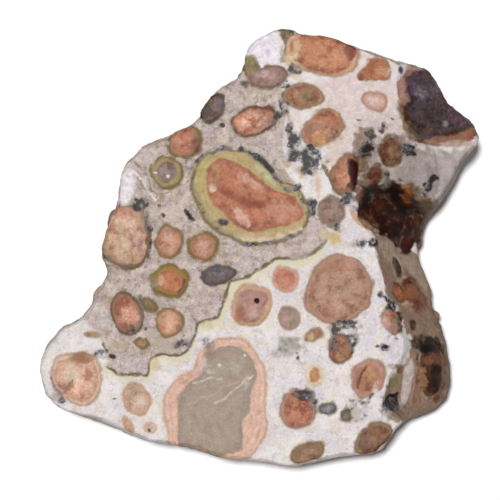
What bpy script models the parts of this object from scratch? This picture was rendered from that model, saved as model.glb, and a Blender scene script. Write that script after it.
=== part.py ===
"""An oncolite hand specimen: one stone, sawn smooth on its upper face and broken on every other side.

Units are metres with +Z up. The stone lies on its back with the sawn face level and looking up. The origin is
under the middle of the stone, on the surface that carries it. +X is the side with the sloping flank and the
hollow, and +Y is the narrower end.
"""

import math

import bmesh
import bpy
from mathutils import Matrix, Vector

MM = 0.001

# Overall sizes, in millimetres
THICKNESS = 37.0
ROUGH_ALLOWANCE = 1.6

# Readings of the reference picture are columns and rows in its pixels. It looks straight down, so what lies
# lower than the sawn face looks smaller in it.
STONE_WIDTH = 105.84
READ_WIDTH = 441.0
PIXEL = STONE_WIDTH / READ_WIDTH
PIXEL_MIDDLE = (260.0, 248.0)
VIEW_MIDDLE = (250.0, 250.0)
VIEW_HEIGHT = 1370.0

# The outline of the stone as read from above, clockwise from the knob at the far end
OUTLINE = [
    (250, 48), (263, 36), (277, 28.5), (290, 30.5), (304, 36), (325, 37), (340, 42), (357, 48), (380, 56),
    (400, 62), (417, 65.5), (428, 71), (434, 83), (440, 96), (449, 107), (463, 118), (474, 128),
    (480, 138), (471, 151), (459, 166), (450, 184), (443, 199), (431, 211), (423, 223), (417, 238),
    (414, 250), (421, 260), (427, 275), (432, 290), (433, 307), (440, 322), (446, 341), (449, 362),
    (450, 382), (447, 398), (440, 406), (425, 415), (408, 420), (398, 428), (389, 440), (379, 451),
    (364, 455), (342, 456), (320, 459), (302, 466), (284, 467), (268, 463), (248, 459), (224, 457),
    (200, 449), (172, 445), (146, 440), (128, 433), (110, 425), (96, 420), (78, 417), (62, 410),
    (50, 401), (43, 388), (39, 370), (41, 356), (51, 341), (62, 327), (74, 322), (84, 318), (93, 307),
    (98, 295), (105, 282), (110, 269), (102, 258), (102, 245), (108, 231), (112, 217), (117, 204),
    (119, 186), (122, 172), (130, 161), (141, 150), (158, 142), (178, 134), (198, 122), (199, 114),
    (209, 100), (213, 93), (228, 86), (241, 79), (245, 66), (245, 54),
]

# The flank: from this outline point on, the sawn face ends inside the outline and the side slopes out to it
FLANK_START = 24
FLANK_EDGE = [
    (379, 236), (378, 250), (382, 265), (386, 288), (392, 305), (400, 320), (407, 335), (409, 348),
    (402, 362), (394, 370), (388, 382), (390, 395), (392, 412),
]

# Sections of the rough stone below the face: height, and size about the middle against the outline.
# The middle is in millimetres.
MIDDLE = (-4.0, -3.0)
GIRTH_HEIGHT = 30.0
FLANK_GIRTH_HEIGHT = 20.0
GIRTH_BAND = 2.5
LOW_GIRTH_POINTS = range(19, 38)
UNDERSIDE = [(16.0, 0.985), (9.5, 0.91), (4.0, 0.74), (1.0, 0.52), (-1.6, 0.30)]
FULLER_ABOVE_SIZE = 0.6

# Flat breaks on the sides: direction in degrees from +X, height where the break starts, lean from upright
BREAKS = [
    (22, 27.0, 34), (50, 24.0, 26), (78, 31.0, 44), (104, 26.0, 30), (131, 31.0, 42), (152, 24.0, 24),
    (178, 29.0, 36), (203, 26.0, 45), (226, 31.0, 33), (248, 22.0, 40), (271, 31.0, 26), (289, 20.0, 48),
    (312, 15.0, 34), (338, 12.0, 44), (356, 10.0, 54),
]
BREAK_BLOCK = 160.0
BREAK_BITE = 0.3

# Hollows: middle, half lengths, turn about +Z in degrees, all in millimetres
HOLLOWS = {
    "deep_hollow": ((31.8, 8.0, THICKNESS + 0.5), (8.8, 6.4, 9.5), -28),
    "hollow_mouth": ((39.4, 4.9, THICKNESS - 1.0), (7.2, 5.2, 12.5), -38),
    "hollow_top": ((27.6, 17.0, THICKNESS + 3.0), (6.4, 10.0, 6.5), 10),
    "shallow_dish": ((34.0, 17.0, THICKNESS + 5.0), (12.0, 13.5, 7.6), -12),
    "corner_break": ((44.5, 38.5, THICKNESS + 4.2), (14.5, 16.0, 7.4), 8),
    "vug": ((31.7, -36.6, THICKNESS), (1.9, 2.3, 5.0), -35),
    "back_hollow": ((-26.0, 33.0, 17.0), (9.0, 8.0, 7.0), 20),
    "front_hollow": ((-6.0, -53.5, 15.0), (12.0, 5.5, 6.0), 8),
    "left_hollow": ((-48.0, -11.0, 21.0), (8.0, 9.0, 8.0), 0),
}

# Oncoids that stand out of the sloping flank: middle, half lengths, turn about +Z in degrees
FLANK_ONCOIDS = {
    "tall_flank_oncoid": ((40.4, -29.3, 23.6), (3.6, 7.4, 4.2), 3),
    "brown_flank_oncoid": ((36.2, -11.0, 28.2), (3.0, 4.2, 3.6), 12),
}

# Oncoids that stand out of the broken sides: direction in degrees, height, radius and how far they stand out
SIDE_ONCOIDS = [
    (8, 17.0, 5.0, 1.8), (33, 20.0, 4.2, 1.6), (58, 15.0, 6.0, 2.1), (84, 22.0, 4.6, 1.7),
    (97, 12.0, 3.6, 1.4),
    (118, 19.0, 6.5, 2.2), (141, 12.0, 4.4, 1.6), (163, 20.0, 5.4, 1.8), (186, 12.0, 4.0, 1.5),
    (196, 25.0, 4.8, 1.4), (217, 14.0, 6.2, 2.1), (236, 22.0, 3.8, 1.5), (254, 11.0, 4.8, 1.7),
    (266, 24.0, 5.6, 1.4), (281, 13.0, 4.2, 1.6), (297, 22.0, 5.2, 1.6), (318, 14.0, 6.4, 2.1),
    (334, 13.0, 4.4, 1.6), (349, 9.0, 4.6, 1.7),
]

OVAL_SHARES = (0.85, 1.0, 1.15)
LOOKING_DISTANCE = 0.2

# Surface of the broken stone, in millimetres: grid, then wave lengths and full heights of the two waves
GRID = 1.1
COARSE_WAVE = (17.0, 1.8)
FINE_WAVE = (5.0, 1.1)
KEPT_SHARE = 0.2

STONE_COLOUR = (0.62, 0.53, 0.47, 1.0)
STONE_ROUGHNESS = 0.6


def metres(point):
    """Turns a point in millimetres into a vector in metres."""
    return Vector(point) * MM


def collection_named(name):
    """Adds a collection to the scene."""
    collection = bpy.data.collections.new(name)
    bpy.context.scene.collection.children.link(collection)
    return collection


def stone_material():
    """The mean colour of the stone, between its pale matrix and its orange oncoids."""
    material = bpy.data.materials.new("oncolite_stone")
    material.use_nodes = True
    surface = material.node_tree.nodes["Principled BSDF"]
    surface.inputs["Base Color"].default_value = STONE_COLOUR
    surface.inputs["Roughness"].default_value = STONE_ROUGHNESS
    surface.inputs["Metallic"].default_value = 0.0
    return material


def on_plan(reading, height=THICKNESS):
    """Turns a reading into millimetres seen from above, for something that lies at a height."""
    share = (VIEW_HEIGHT - height) / (VIEW_HEIGHT - THICKNESS)
    column, row = (middle + (value - middle) * share for value, middle in zip(reading, VIEW_MIDDLE))
    return (column - PIXEL_MIDDLE[0]) * PIXEL, (PIXEL_MIDDLE[1] - row) * PIXEL


def face_edge(index):
    """The edge of the sawn face at one point of the outline."""
    place = index - FLANK_START
    if 0 <= place < len(FLANK_EDGE):
        return on_plan(FLANK_EDGE[place])
    return on_plan(OUTLINE[index])


def girth_height(index):
    """The height at which the stone is widest at one point of the outline."""
    return FLANK_GIRTH_HEIGHT if index in LOW_GIRTH_POINTS else GIRTH_HEIGHT


def girth_point(index):
    """The outline at the height at which the stone is widest."""
    return on_plan(OUTLINE[index], girth_height(index))


def drawn_in(index, size):
    """An outline point drawn in towards the middle. The large sections stay fuller below the flank."""
    if index in LOW_GIRTH_POINTS and size > FULLER_ABOVE_SIZE:
        size = (1.0 + size) / 2
    x, y = girth_point(index)
    return MIDDLE[0] + (x - MIDDLE[0]) * size, MIDDLE[1] + (y - MIDDLE[1]) * size


def band_point(index):
    """A point a little below the girth: the flank is upright there, the other sides go on drawing in."""
    height = girth_height(index) - GIRTH_BAND
    if index in LOW_GIRTH_POINTS:
        return (*girth_point(index), height)
    next_height, next_size = UNDERSIDE[0]
    size = 1.0 - (1.0 - next_size) * GIRTH_BAND / (GIRTH_HEIGHT - next_height)
    return (*drawn_in(index, size), height)


def stone_sections():
    """The sections of the rough stone from above the face down to below the rest, each a list of points."""
    indices = range(len(OUTLINE))
    sections = [
        [(*face_edge(i), THICKNESS + ROUGH_ALLOWANCE) for i in indices],
        [(*face_edge(i), THICKNESS - ROUGH_ALLOWANCE) for i in indices],
        [(*girth_point(i), girth_height(i)) for i in indices],
        [band_point(i) for i in indices],
    ]
    for height, size in UNDERSIDE:
        sections.append([(*drawn_in(i, size), height) for i in indices])
    return sections


def loft(name, sections, collection):
    """Joins sections with the same number of points into one closed body."""
    form = bmesh.new()
    rings = [[form.verts.new(metres(point)) for point in section] for section in sections]
    form.faces.new(rings[0])
    form.faces.new(rings[-1])
    for upper, lower in zip(rings, rings[1:]):
        for i in range(len(upper)):
            following = (i + 1) % len(upper)
            form.faces.new((upper[i], lower[i], lower[following], upper[following]))
    bmesh.ops.recalc_face_normals(form, faces=form.faces)
    mesh = bpy.data.meshes.new(name)
    form.to_mesh(mesh)
    form.free()
    body = bpy.data.objects.new(name, mesh)
    collection.objects.link(body)
    return body


def as_cutter(cutter, collection):
    """Makes an object a guide that is never shown as part of the stone."""
    for owner in cutter.users_collection:
        owner.objects.unlink(cutter)
    collection.objects.link(cutter)
    cutter.hide_render = True
    cutter.display_type = "WIRE"
    return cutter


def ellipsoid(name, middle, half_lengths, turn, collection):
    """An ellipsoid guide, turned about +Z."""
    bpy.ops.mesh.primitive_uv_sphere_add(segments=36, ring_count=20, radius=1.0, location=metres(middle))
    guide = bpy.context.active_object
    guide.name = name
    guide.rotation_euler = (0.0, 0.0, math.radians(turn))
    guide.scale = metres(half_lengths)
    return as_cutter(guide, collection)


def block(name, middle, sides, rotation, collection):
    """A box guide with its middle, side lengths and rotation matrix."""
    bpy.ops.mesh.primitive_cube_add(size=1.0)
    guide = bpy.context.active_object
    guide.name = name
    guide.matrix_world = Matrix.LocRotScale(metres(middle), rotation.to_quaternion(), metres(sides))
    return as_cutter(guide, collection)


def reach(direction):
    """How far the outline reaches from the middle in a direction, in millimetres."""
    across = Vector(MIDDLE)
    return max((Vector(girth_point(i)) - across).dot(direction) for i in range(len(OUTLINE)))


def break_block(number, angle, height, lean, collection):
    """A block whose inner side takes a flat, undercut piece off the stone below a height."""
    outward = Vector((math.cos(math.radians(angle)), math.sin(math.radians(angle))))
    normal = Vector((outward.x, outward.y, 0.0)) * math.cos(math.radians(lean))
    normal.z = -math.sin(math.radians(lean))
    start = Vector(MIDDLE) + outward * (reach(outward) - BREAK_BITE)
    on_plane = Vector((start.x, start.y, height))
    rotation = normal.to_track_quat("X", "Z").to_matrix()
    middle = on_plane + normal * BREAK_BLOCK / 2
    return block(f"break_{number:02d}", middle, (BREAK_BLOCK,) * 3, rotation, collection)


def side_oncoid(number, stone, angle, height, radius, stand_out, collection):
    """A ball seated in the side of the stone, found by looking at the stone from outside at that height."""
    outward = metres((math.cos(math.radians(angle)), math.sin(math.radians(angle)), 0.0)).normalized()
    middle = metres((*MIDDLE, height))
    hit, place, _, _ = stone.ray_cast(middle + outward * LOOKING_DISTANCE, -outward)
    assert hit, "every oncoid direction meets the stone"
    centre = (place - outward * (radius - stand_out) * MM) / MM
    share = OVAL_SHARES[number % len(OVAL_SHARES)]
    sizes = (radius, radius * share, radius * (2.0 - share))
    return ellipsoid(f"side_oncoid_{number:02d}", centre, sizes, angle, collection)


def boolean(stone, name, operation, cutter):
    """Adds one exact Boolean step to the stone."""
    step = stone.modifiers.new(name, "BOOLEAN")
    step.operation = operation
    step.solver = "EXACT"
    step.object = cutter


def wave(stone, name, length, height):
    """Moves the surface in and out by a cloudy field with a wave length and a full height in millimetres."""
    field = bpy.data.textures.new(name, "CLOUDS")
    field.noise_scale = length * MM
    field.noise_depth = 1
    step = stone.modifiers.new(name, "DISPLACE")
    step.texture = field
    step.texture_coords = "GLOBAL"
    step.strength = height * MM
    step.mid_level = 0.5


def roughen(stone):
    """Gives the broken stone its uneven surface, with few enough faces."""
    grid = stone.modifiers.new("grid", "REMESH")
    grid.mode = "VOXEL"
    grid.voxel_size = GRID * MM
    soften = stone.modifiers.new("soften", "SMOOTH")
    soften.factor = 0.5
    soften.iterations = 2
    wave(stone, "coarse_wave", *COARSE_WAVE)
    wave(stone, "fine_wave", *FINE_WAVE)
    thin = stone.modifiers.new("thin", "DECIMATE")
    thin.decimate_type = "COLLAPSE"
    thin.ratio = KEPT_SHARE


def saw_and_seat(stone, collection):
    """Cuts the sawn face and the flat spot that the stone rests on."""
    size = 3 * THICKNESS
    upright = Matrix.Identity(3)
    saw = block("saw_cut", (0, 0, THICKNESS + size / 2), (size, size, size), upright, collection)
    seat = block("rest_cut", (0, 0, -size / 2), (size, size, size), upright, collection)
    boolean(stone, "saw_cut", "DIFFERENCE", saw)
    boolean(stone, "rest_cut", "DIFFERENCE", seat)


def build_stone(parts, cutters):
    """Builds the one stone, with its breaks, hollows, standing oncoids, sawn face and rest."""
    stone = loft("oncolite", stone_sections(), parts)
    for number, (angle, height, lean) in enumerate(BREAKS):
        boolean(stone, f"break_{number:02d}", "DIFFERENCE", break_block(number, angle, height, lean, cutters))
    bpy.context.view_layer.update()
    broken = stone.evaluated_get(bpy.context.evaluated_depsgraph_get())
    balls = [side_oncoid(i, broken, *row, cutters) for i, row in enumerate(SIDE_ONCOIDS)]
    for name, (middle, half_lengths, turn) in FLANK_ONCOIDS.items():
        balls.append(ellipsoid(name, middle, half_lengths, turn, cutters))
    for ball in balls:
        boolean(stone, ball.name, "UNION", ball)
    for name, (middle, half_lengths, turn) in HOLLOWS.items():
        boolean(stone, name, "DIFFERENCE", ellipsoid(name, middle, half_lengths, turn, cutters))
    roughen(stone)
    saw_and_seat(stone, cutters)
    stone.data.materials.append(stone_material())
    return stone


def main():
    """Clears the scene and builds the stone."""
    for old in list(bpy.data.objects):
        bpy.data.objects.remove(old, do_unlink=True)
    parts = collection_named("oncolite")
    cutters = collection_named("guides")
    build_stone(parts, cutters)


main()
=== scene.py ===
"""The oncolite specimen as it looks: a sawn face full of ringed oncoids, broken sides, and its studio.

Sizes are in millimetres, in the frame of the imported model, and are turned into metres where a mesh is made.
A place on the sawn face that was read from the reference picture is given in that picture's pixels and goes
through on_face().
"""

import logging
import math
from dataclasses import dataclass, field, replace
from enum import Enum

import bmesh
import bpy
import numpy as np
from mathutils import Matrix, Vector
from mathutils.bvhtree import BVHTree


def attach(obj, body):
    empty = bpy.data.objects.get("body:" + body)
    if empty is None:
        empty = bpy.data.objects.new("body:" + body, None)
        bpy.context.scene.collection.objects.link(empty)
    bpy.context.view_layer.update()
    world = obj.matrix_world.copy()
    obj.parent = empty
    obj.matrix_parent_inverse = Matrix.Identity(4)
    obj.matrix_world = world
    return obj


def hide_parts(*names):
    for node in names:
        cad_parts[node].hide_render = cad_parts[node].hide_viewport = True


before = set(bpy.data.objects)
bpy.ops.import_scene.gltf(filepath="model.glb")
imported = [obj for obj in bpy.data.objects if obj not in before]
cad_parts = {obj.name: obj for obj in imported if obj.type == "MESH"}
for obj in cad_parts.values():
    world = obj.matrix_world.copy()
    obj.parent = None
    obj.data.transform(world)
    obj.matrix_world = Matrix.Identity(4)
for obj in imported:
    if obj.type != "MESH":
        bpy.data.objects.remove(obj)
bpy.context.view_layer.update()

log = logging.getLogger("oncolite")

MM = 0.001
FACE_HEIGHT = 37.0
PIXEL_MM = 0.24
PIXEL_MIDDLE = (260.0, 248.0)

# What the studio's light multiplies a surface colour by, and what gloss adds to it
LIGHT_GAIN = 1.25
GLOSS_VEIL = 0.012

Points = list[tuple[float, float]]


def on_face(pixels: Points) -> np.ndarray:
    """Turns places in the picture's pixels into millimetres on the sawn face.

    Args:
        pixels: Places as (column, row).

    Returns:
        An array of (x, y) rows.
    """
    rows = np.array(pixels, float)
    return (rows - PIXEL_MIDDLE) * (PIXEL_MM, -PIXEL_MM)


def tone(hex_colour: str) -> np.ndarray:
    """The linear surface colour that reads as a screen colour in the studio's light.

    Args:
        hex_colour: The screen colour, such as "#c8b6a9".

    Returns:
        Red, green and blue as linear values.
    """
    screen = np.array([int(hex_colour[i:i + 2], 16) for i in (1, 3, 5)]) / 255.0
    linear = np.where(screen <= 0.04045, screen / 12.92, ((screen + 0.055) / 1.055) ** 2.4)
    return np.maximum(linear - GLOSS_VEIL, 0.002) / LIGHT_GAIN


def smooth_step(values: np.ndarray, start: float, end: float) -> np.ndarray:
    """A smooth rise from 0 at start to 1 at end; it falls where end is the smaller."""
    share = np.clip((values - start) / (end - start), 0.0, 1.0)
    return share * share * (3.0 - 2.0 * share)


def waves(points: np.ndarray, length: float, seed: int, count: int = 12) -> np.ndarray:
    """An uneven field through space, made of plane waves.

    Args:
        points: Places in millimetres.
        length: The mean wave length in millimetres.
        seed: The field's fixed seed.
        count: How many waves are added up.

    Returns:
        One value for each place, mostly between -1 and 1.
    """
    draw = np.random.default_rng(seed)
    directions = draw.normal(size=(count, points.shape[1]))
    directions /= np.linalg.norm(directions, axis=1)[:, None]
    steps = 2.0 * math.pi / (length * draw.uniform(0.7, 1.5, count))
    phases = draw.uniform(0.0, 2.0 * math.pi, count)
    return np.sin(points @ (directions * steps[:, None]).T + phases).sum(1) / math.sqrt(2.0 * count)


def closed_curve(points: np.ndarray, steps: int = 6) -> np.ndarray:
    """A smooth closed curve through points.

    Args:
        points: The points that the curve goes through.
        steps: How many curve points stand between two of them.

    Returns:
        The curve's points.
    """
    before, after, beyond = np.roll(points, 1, 0), np.roll(points, -1, 0), np.roll(points, -2, 0)
    pieces = []
    for step in range(steps):
        t = step / steps
        pieces.append(0.5 * (2 * points + (after - before) * t
                             + (2 * before - 5 * points + 4 * after - beyond) * t * t
                             + (3 * points - before - 3 * after + beyond) * t ** 3))
    return np.stack(pieces, 1).reshape(-1, 2)


def nearest_on_line(points: np.ndarray, line: np.ndarray) -> tuple[np.ndarray, np.ndarray]:
    """The distance of places from an open line.

    Args:
        points: Places as (x, y) rows.
        line: The line's points.

    Returns:
        The distance of each place, and the number of the line's nearest stretch.
    """
    best = np.full(len(points), 1e9)
    nearest = np.zeros(len(points), int)
    for number, (start, end) in enumerate(zip(line, line[1:])):
        along = end - start
        share = np.clip((points - start) @ along / max(along @ along, 1e-9), 0.0, 1.0)
        away = np.linalg.norm(points - start - share[:, None] * along, axis=1)
        closer = away < best
        best[closer] = away[closer]
        nearest[closer] = number
    return best, nearest


def inside(points: np.ndarray, curve: np.ndarray) -> np.ndarray:
    """Whether places lie inside a closed curve.

    Args:
        points: Places as (x, y) rows.
        curve: The curve's points.

    Returns:
        True for each place that is inside.
    """
    crossed = np.zeros(len(points), bool)
    x, y = points[:, 0], points[:, 1]
    for (x0, y0), (x1, y1) in zip(curve, np.roll(curve, -1, 0)):
        if y0 != y1:
            crossed ^= ((y0 > y) != (y1 > y)) & (x < (x1 - x0) * (y - y0) / (y1 - y0) + x0)
    return crossed


@dataclass(frozen=True)
class Look:
    """How the coats of an oncoid are drawn: its outer line, its rings and its mottling."""

    line: str
    line_strength: float
    line_mm: float
    rings: float
    ring_mm: float
    mottle: float


class Kind(Enum):
    """The kinds of oncoid in this stone."""

    PLAIN = Look("#a98672", 0.45, 0.30, 0.25, 0.9, 0.8)
    LINED = Look("#6b5133", 0.70, 0.36, 0.35, 0.9, 1.1)
    OLIVE = Look("#6e5a2c", 0.90, 0.50, 0.45, 1.1, 1.1)
    RINGED = Look("#8d6f55", 0.60, 0.30, 0.70, 1.2, 0.8)
    COATED = Look("#b98a68", 0.45, 0.30, 0.60, 1.4, 0.35)
    STAINED = Look("#3a2b24", 0.75, 0.42, 0.30, 0.8, 1.7)
    FADED = Look("#b19a86", 0.20, 0.20, 0.20, 1.0, 0.6)


@dataclass(frozen=True)
class Oncoid:
    """One oncoid: where it lies, how large it is, and the colours of its heart and its rim."""

    name: str
    middle: tuple[float, ...]
    halves: tuple[float, float]
    turn: float
    heart: str
    rim: str
    rim_mm: float
    kind: Kind
    depth: float = 0.0
    proud: float = 0.0

    def in_millimetres(self) -> "Oncoid":
        """The oncoid with its middle and halves turned from pixels into millimetres on the sawn face."""
        halves = (self.halves[0] * PIXEL_MM, self.halves[1] * PIXEL_MM)
        return replace(self, middle=tuple(on_face([self.middle])[0]), halves=halves)

    def half_depth(self) -> float:
        """Half its height, which is a little under its mean half width unless it is given."""
        return self.depth or 0.92 * math.sqrt(self.halves[0] * self.halves[1])


# The oncoids on show as they were read: middles and halves in pixels, turns in degrees, rims in millimetres
FACE_ONCOIDS = [
    Oncoid("central", (255, 197), (62, 42), -32, "#ab6c50", "#b6a070", 2.0, Kind.OLIVE),
    Oncoid("big_grey", (216, 398), (64, 47), 72, "#9f8e7f", "#d9b19e", 2.8, Kind.COATED),
    Oncoid("round_pink", (339, 290), (36, 34), 60, "#a9816c", "#b18470", 1.1, Kind.LINED),
    Oncoid("top_orange", (322, 54), (37, 22), -14, "#b87d5e", "#cfa184", 0.8, Kind.LINED),
    Oncoid("left_edge", (125, 239), (33, 24), 80, "#c09c84", "#a8826a", 0.9, Kind.LINED),
    Oncoid("bottom_left", (76, 379), (27, 25), -30, "#cea48d", "#d9b39c", 0.9, Kind.LINED),
    Oncoid("upper_orange", (254, 121), (23, 14), 10, "#ca967c", "#94604a", 0.6, Kind.STAINED),
    Oncoid("upper_purple", (212, 108), (17, 12), 60, "#75644f", "#4f4038", 0.7, Kind.STAINED),
    Oncoid("upper_red", (184, 140), (18, 16), 30, "#b3785e", "#9d7a58", 0.8, Kind.OLIVE),
    Oncoid("olive_ring", (166, 172), (17, 15), -35, "#8f7d76", "#9f8a5c", 1.3, Kind.OLIVE),
    Oncoid("left_pink", (169, 241), (17, 14), 90, "#be8f76", "#9f7350", 0.7, Kind.LINED),
    Oncoid("inner_pink", (203, 247), (15, 14), 20, "#ba8b74", "#a27648", 0.8, Kind.OLIVE),
    Oncoid("mustard", (170, 281), (18, 17), 0, "#b67550", "#93702f", 1.3, Kind.OLIVE),
    Oncoid("dark_purple", (218, 275), (16, 11), 5, "#6d6164", "#55525a", 0.5, Kind.STAINED),
    Oncoid("left_brown", (127, 314), (21, 16), -72, "#bd8b74", "#966c52", 0.9, Kind.STAINED),
    Oncoid("olive_spot", (150, 305), (9, 6), -35, "#8a7450", "#7d6a45", 0.5, Kind.OLIVE),
    Oncoid("lower_pink", (170, 322), (15, 14), 80, "#cb9b80", "#a67a52", 0.7, Kind.LINED),
    Oncoid("bead", (142, 343), (7, 5), 0, "#b58f74", "#9f8a60", 0.4, Kind.OLIVE),
    Oncoid("shard", (92, 335), (9, 4), -5, "#a98a6e", "#b39c86", 0.4, Kind.FADED),
    Oncoid("near_oval", (136, 399), (18, 14), -70, "#ceb4a2", "#c9a287", 0.9, Kind.PLAIN),
    Oncoid("sliver", (128, 425), (10, 5), -60, "#c79f80", "#c9a58e", 0.4, Kind.PLAIN),
    Oncoid("faint_ring", (150, 427), (8, 7), 0, "#d6c0ae", "#d3b29c", 0.5, Kind.FADED),
    Oncoid("eye", (251, 305), (23, 20), 40, "#aa8074", "#c49c80", 1.1, Kind.PLAIN),
    Oncoid("mid_orange", (285, 279), (14, 13), 0, "#bf8068", "#cfa08a", 0.7, Kind.PLAIN),
    Oncoid("grey_green", (289, 318), (12, 12), 0, "#9f8c7e", "#a58a78", 0.6, Kind.PLAIN),
    Oncoid("small_brown", (314, 335), (9, 7), 10, "#a0785e", "#b99277", 0.4, Kind.LINED),
    Oncoid("square", (340, 349), (13, 15), -10, "#a97850", "#7c5a48", 0.6, Kind.STAINED),
    Oncoid("small_orange", (315, 375), (10, 10), 0, "#b98456", "#dcc8ae", 0.8, Kind.FADED),
    Oncoid("near_orange", (368, 378), (21, 16), 60, "#aa7959", "#b98a7a", 1.0, Kind.LINED),
    Oncoid("near_red", (298, 409), (19, 20), 0, "#af715a", "#b98a74", 0.7, Kind.STAINED),
    Oncoid("near_black", (328, 409), (9, 6), 10, "#85848a", "#5d5a5e", 0.5, Kind.STAINED),
    Oncoid("olive_bead", (346, 415), (7, 7), 0, "#9a8a72", "#5e5240", 0.6, Kind.STAINED),
    Oncoid("near_tilted", (308, 452), (19, 10), 22, "#927057", "#8a7048", 0.7, Kind.OLIVE),
    Oncoid("near_brown", (373, 439), (21, 14), 40, "#7d573f", "#92704f", 0.7, Kind.STAINED),
    Oncoid("straddling", (393, 320), (15, 11), -70, "#a87c68", "#b58c78", 0.6, Kind.STAINED),
    Oncoid("far_stripe", (268, 77), (20, 12), 12, "#9d7c73", "#7c6656", 0.8, Kind.RINGED),
    Oncoid("far_oval", (303, 96), (21, 13), -5, "#986f52", "#a88464", 0.6, Kind.STAINED),
    Oncoid("far_ring", (375, 101), (15, 9), -14, "#cdada1", "#bb8a78", 0.55, Kind.PLAIN),
    Oncoid("far_uneven", (373, 70), (16, 10), 25, "#b0754f", "#b07c62", 0.4, Kind.LINED),
    Oncoid("far_orange", (323, 128), (22, 17), 40, "#ad765a", "#c08c66", 0.6, Kind.STAINED),
    Oncoid("step", (346, 174), (22, 15), 75, "#ac785f", "#93714c", 0.7, Kind.STAINED),
    Oncoid("dish_brown", (391, 151), (17, 13), 75, "#80604c", "#7f6048", 0.6, Kind.STAINED),
    Oncoid("dish_red", (374, 177), (14, 9), 70, "#724e3e", "#7a5845", 0.5, Kind.STAINED),
    Oncoid("mid_grey", (331, 211), (17, 14), 90, "#937a70", "#8f7d70", 0.6, Kind.LINED),
    Oncoid("crescent", (364, 221), (14, 8), -35, "#8a6a58", "#a08570", 0.5, Kind.STAINED),
    Oncoid("knob_olive", (251, 67), (12, 7), -70, "#8c7a5c", "#a08f78", 0.5, Kind.OLIVE),
    Oncoid("corner", (437, 104), (42, 34), -50, "#4e4038", "#936a58", 1.8, Kind.STAINED),
    Oncoid("flank_lens", (399, 267), (11, 5), -75, "#544b3e", "#6f5c4c", 0.4, Kind.STAINED),
    Oncoid("flank_orange", (398, 292), (12, 8), -62, "#a36c50", "#7c5540", 0.4, Kind.STAINED),
    Oncoid("flank_dark", (414, 290), (17, 11), -65, "#6a4634", "#7f5c46", 0.6, Kind.STAINED),
    Oncoid("flank_tall", (434, 370), (32, 15), 88, "#49362c", "#6d4f3e", 0.8, Kind.STAINED),
    Oncoid("flank_pale", (409, 382), (24, 7), 85, "#b19b96", "#bba49c", 0.6, Kind.FADED),
]

# Outlines and heart outlines of the main oncoids, in pixels
OUTLINES = {
    "central": [(199, 163), (205, 155), (215, 150), (225, 149), (245, 152), (256, 157), (266, 164),
        (274, 173), (281, 181), (293, 187), (304, 196), (309, 210), (307, 223), (298, 232), (285, 239),
        (266, 242), (248, 245), (235, 239), (222, 234), (210, 226), (204, 215), (197, 205), (193, 190),
        (194, 175)],
    "big_grey": [(170, 452), (166, 430), (163, 410), (165, 395), (172, 382), (180, 376), (192, 369),
        (200, 352), (208, 345), (215, 338), (228, 336), (240, 338), (250, 343), (258, 352), (263, 362),
        (267, 375), (267, 390), (266, 410), (268, 425), (264, 440), (257, 450), (245, 460), (215, 466),
        (185, 462)],
    "left_edge": [(106, 212), (115, 206), (130, 205), (141, 209), (147, 220), (150, 235), (150, 250),
        (143, 262), (133, 268), (120, 265), (108, 260), (101, 252), (101, 235), (103, 222)],
    "bottom_left": [(52, 365), (58, 357), (70, 353), (85, 352), (96, 357), (102, 368), (102, 382), (98, 395),
        (90, 403), (78, 405), (66, 400), (56, 392), (50, 378)],
    "far_uneven": [(357, 76), (362, 69), (370, 60), (378, 58), (387, 62), (391, 71), (388, 79), (375, 79),
        (363, 81)],
    "round_pink": [(340, 254), (352, 257), (363, 264), (370, 274), (373, 287), (371, 300), (364, 311),
        (352, 319), (338, 325), (322, 321), (310, 313), (304, 304), (305, 292), (309, 280), (316, 266),
        (327, 257)],
    "corner": [(402, 75), (410, 66), (425, 66), (437, 75), (445, 92), (455, 105), (470, 115), (479, 127),
        (475, 140), (462, 147), (440, 148), (420, 146), (408, 140), (400, 125), (396, 105), (398, 88)],
}
HEARTS = {
    "central": [(215, 160), (225, 159), (238, 163), (248, 170), (258, 177), (265, 184), (272, 190),
        (285, 194), (297, 200), (303, 208), (303, 217), (297, 223), (285, 227), (270, 230), (258, 233),
        (245, 231), (235, 225), (225, 217), (215, 207), (207, 195), (205, 182), (207, 170)],
    "big_grey": [(180, 452), (178, 430), (177, 410), (179, 393), (187, 383), (200, 372), (208, 360),
        (215, 350), (230, 346), (245, 350), (253, 360), (256, 375), (252, 395), (250, 410), (243, 425),
        (243, 440), (240, 450), (215, 458), (195, 458)],
}

# The taupe zone of the matrix, in pixels. Its first points are its strong contact with the white zone.
TAUPE_ZONE = [
    (106, 367), (112, 372), (120, 376), (138, 375), (147, 377), (150, 370), (152, 361), (158, 357),
    (170, 357), (180, 355), (188, 350), (193, 341), (197, 332), (200, 325), (210, 321), (218, 318),
    (222, 309), (225, 298), (229, 290), (232, 284), (238, 281), (250, 277), (262, 270), (272, 263),
    (285, 259), (296, 260), (308, 257), (320, 249), (326, 240), (327, 231), (318, 218), (308, 200),
    (296, 185), (287, 172), (283, 150), (284, 130), (288, 110), (284, 95), (280, 85), (262, 68), (245, 54),
    (215, 70), (190, 90), (160, 120), (110, 150), (80, 190), (70, 240), (75, 290), (84, 318), (95, 330),
    (103, 343), (108, 352),
]
CONTACT_POINTS = 30

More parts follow.
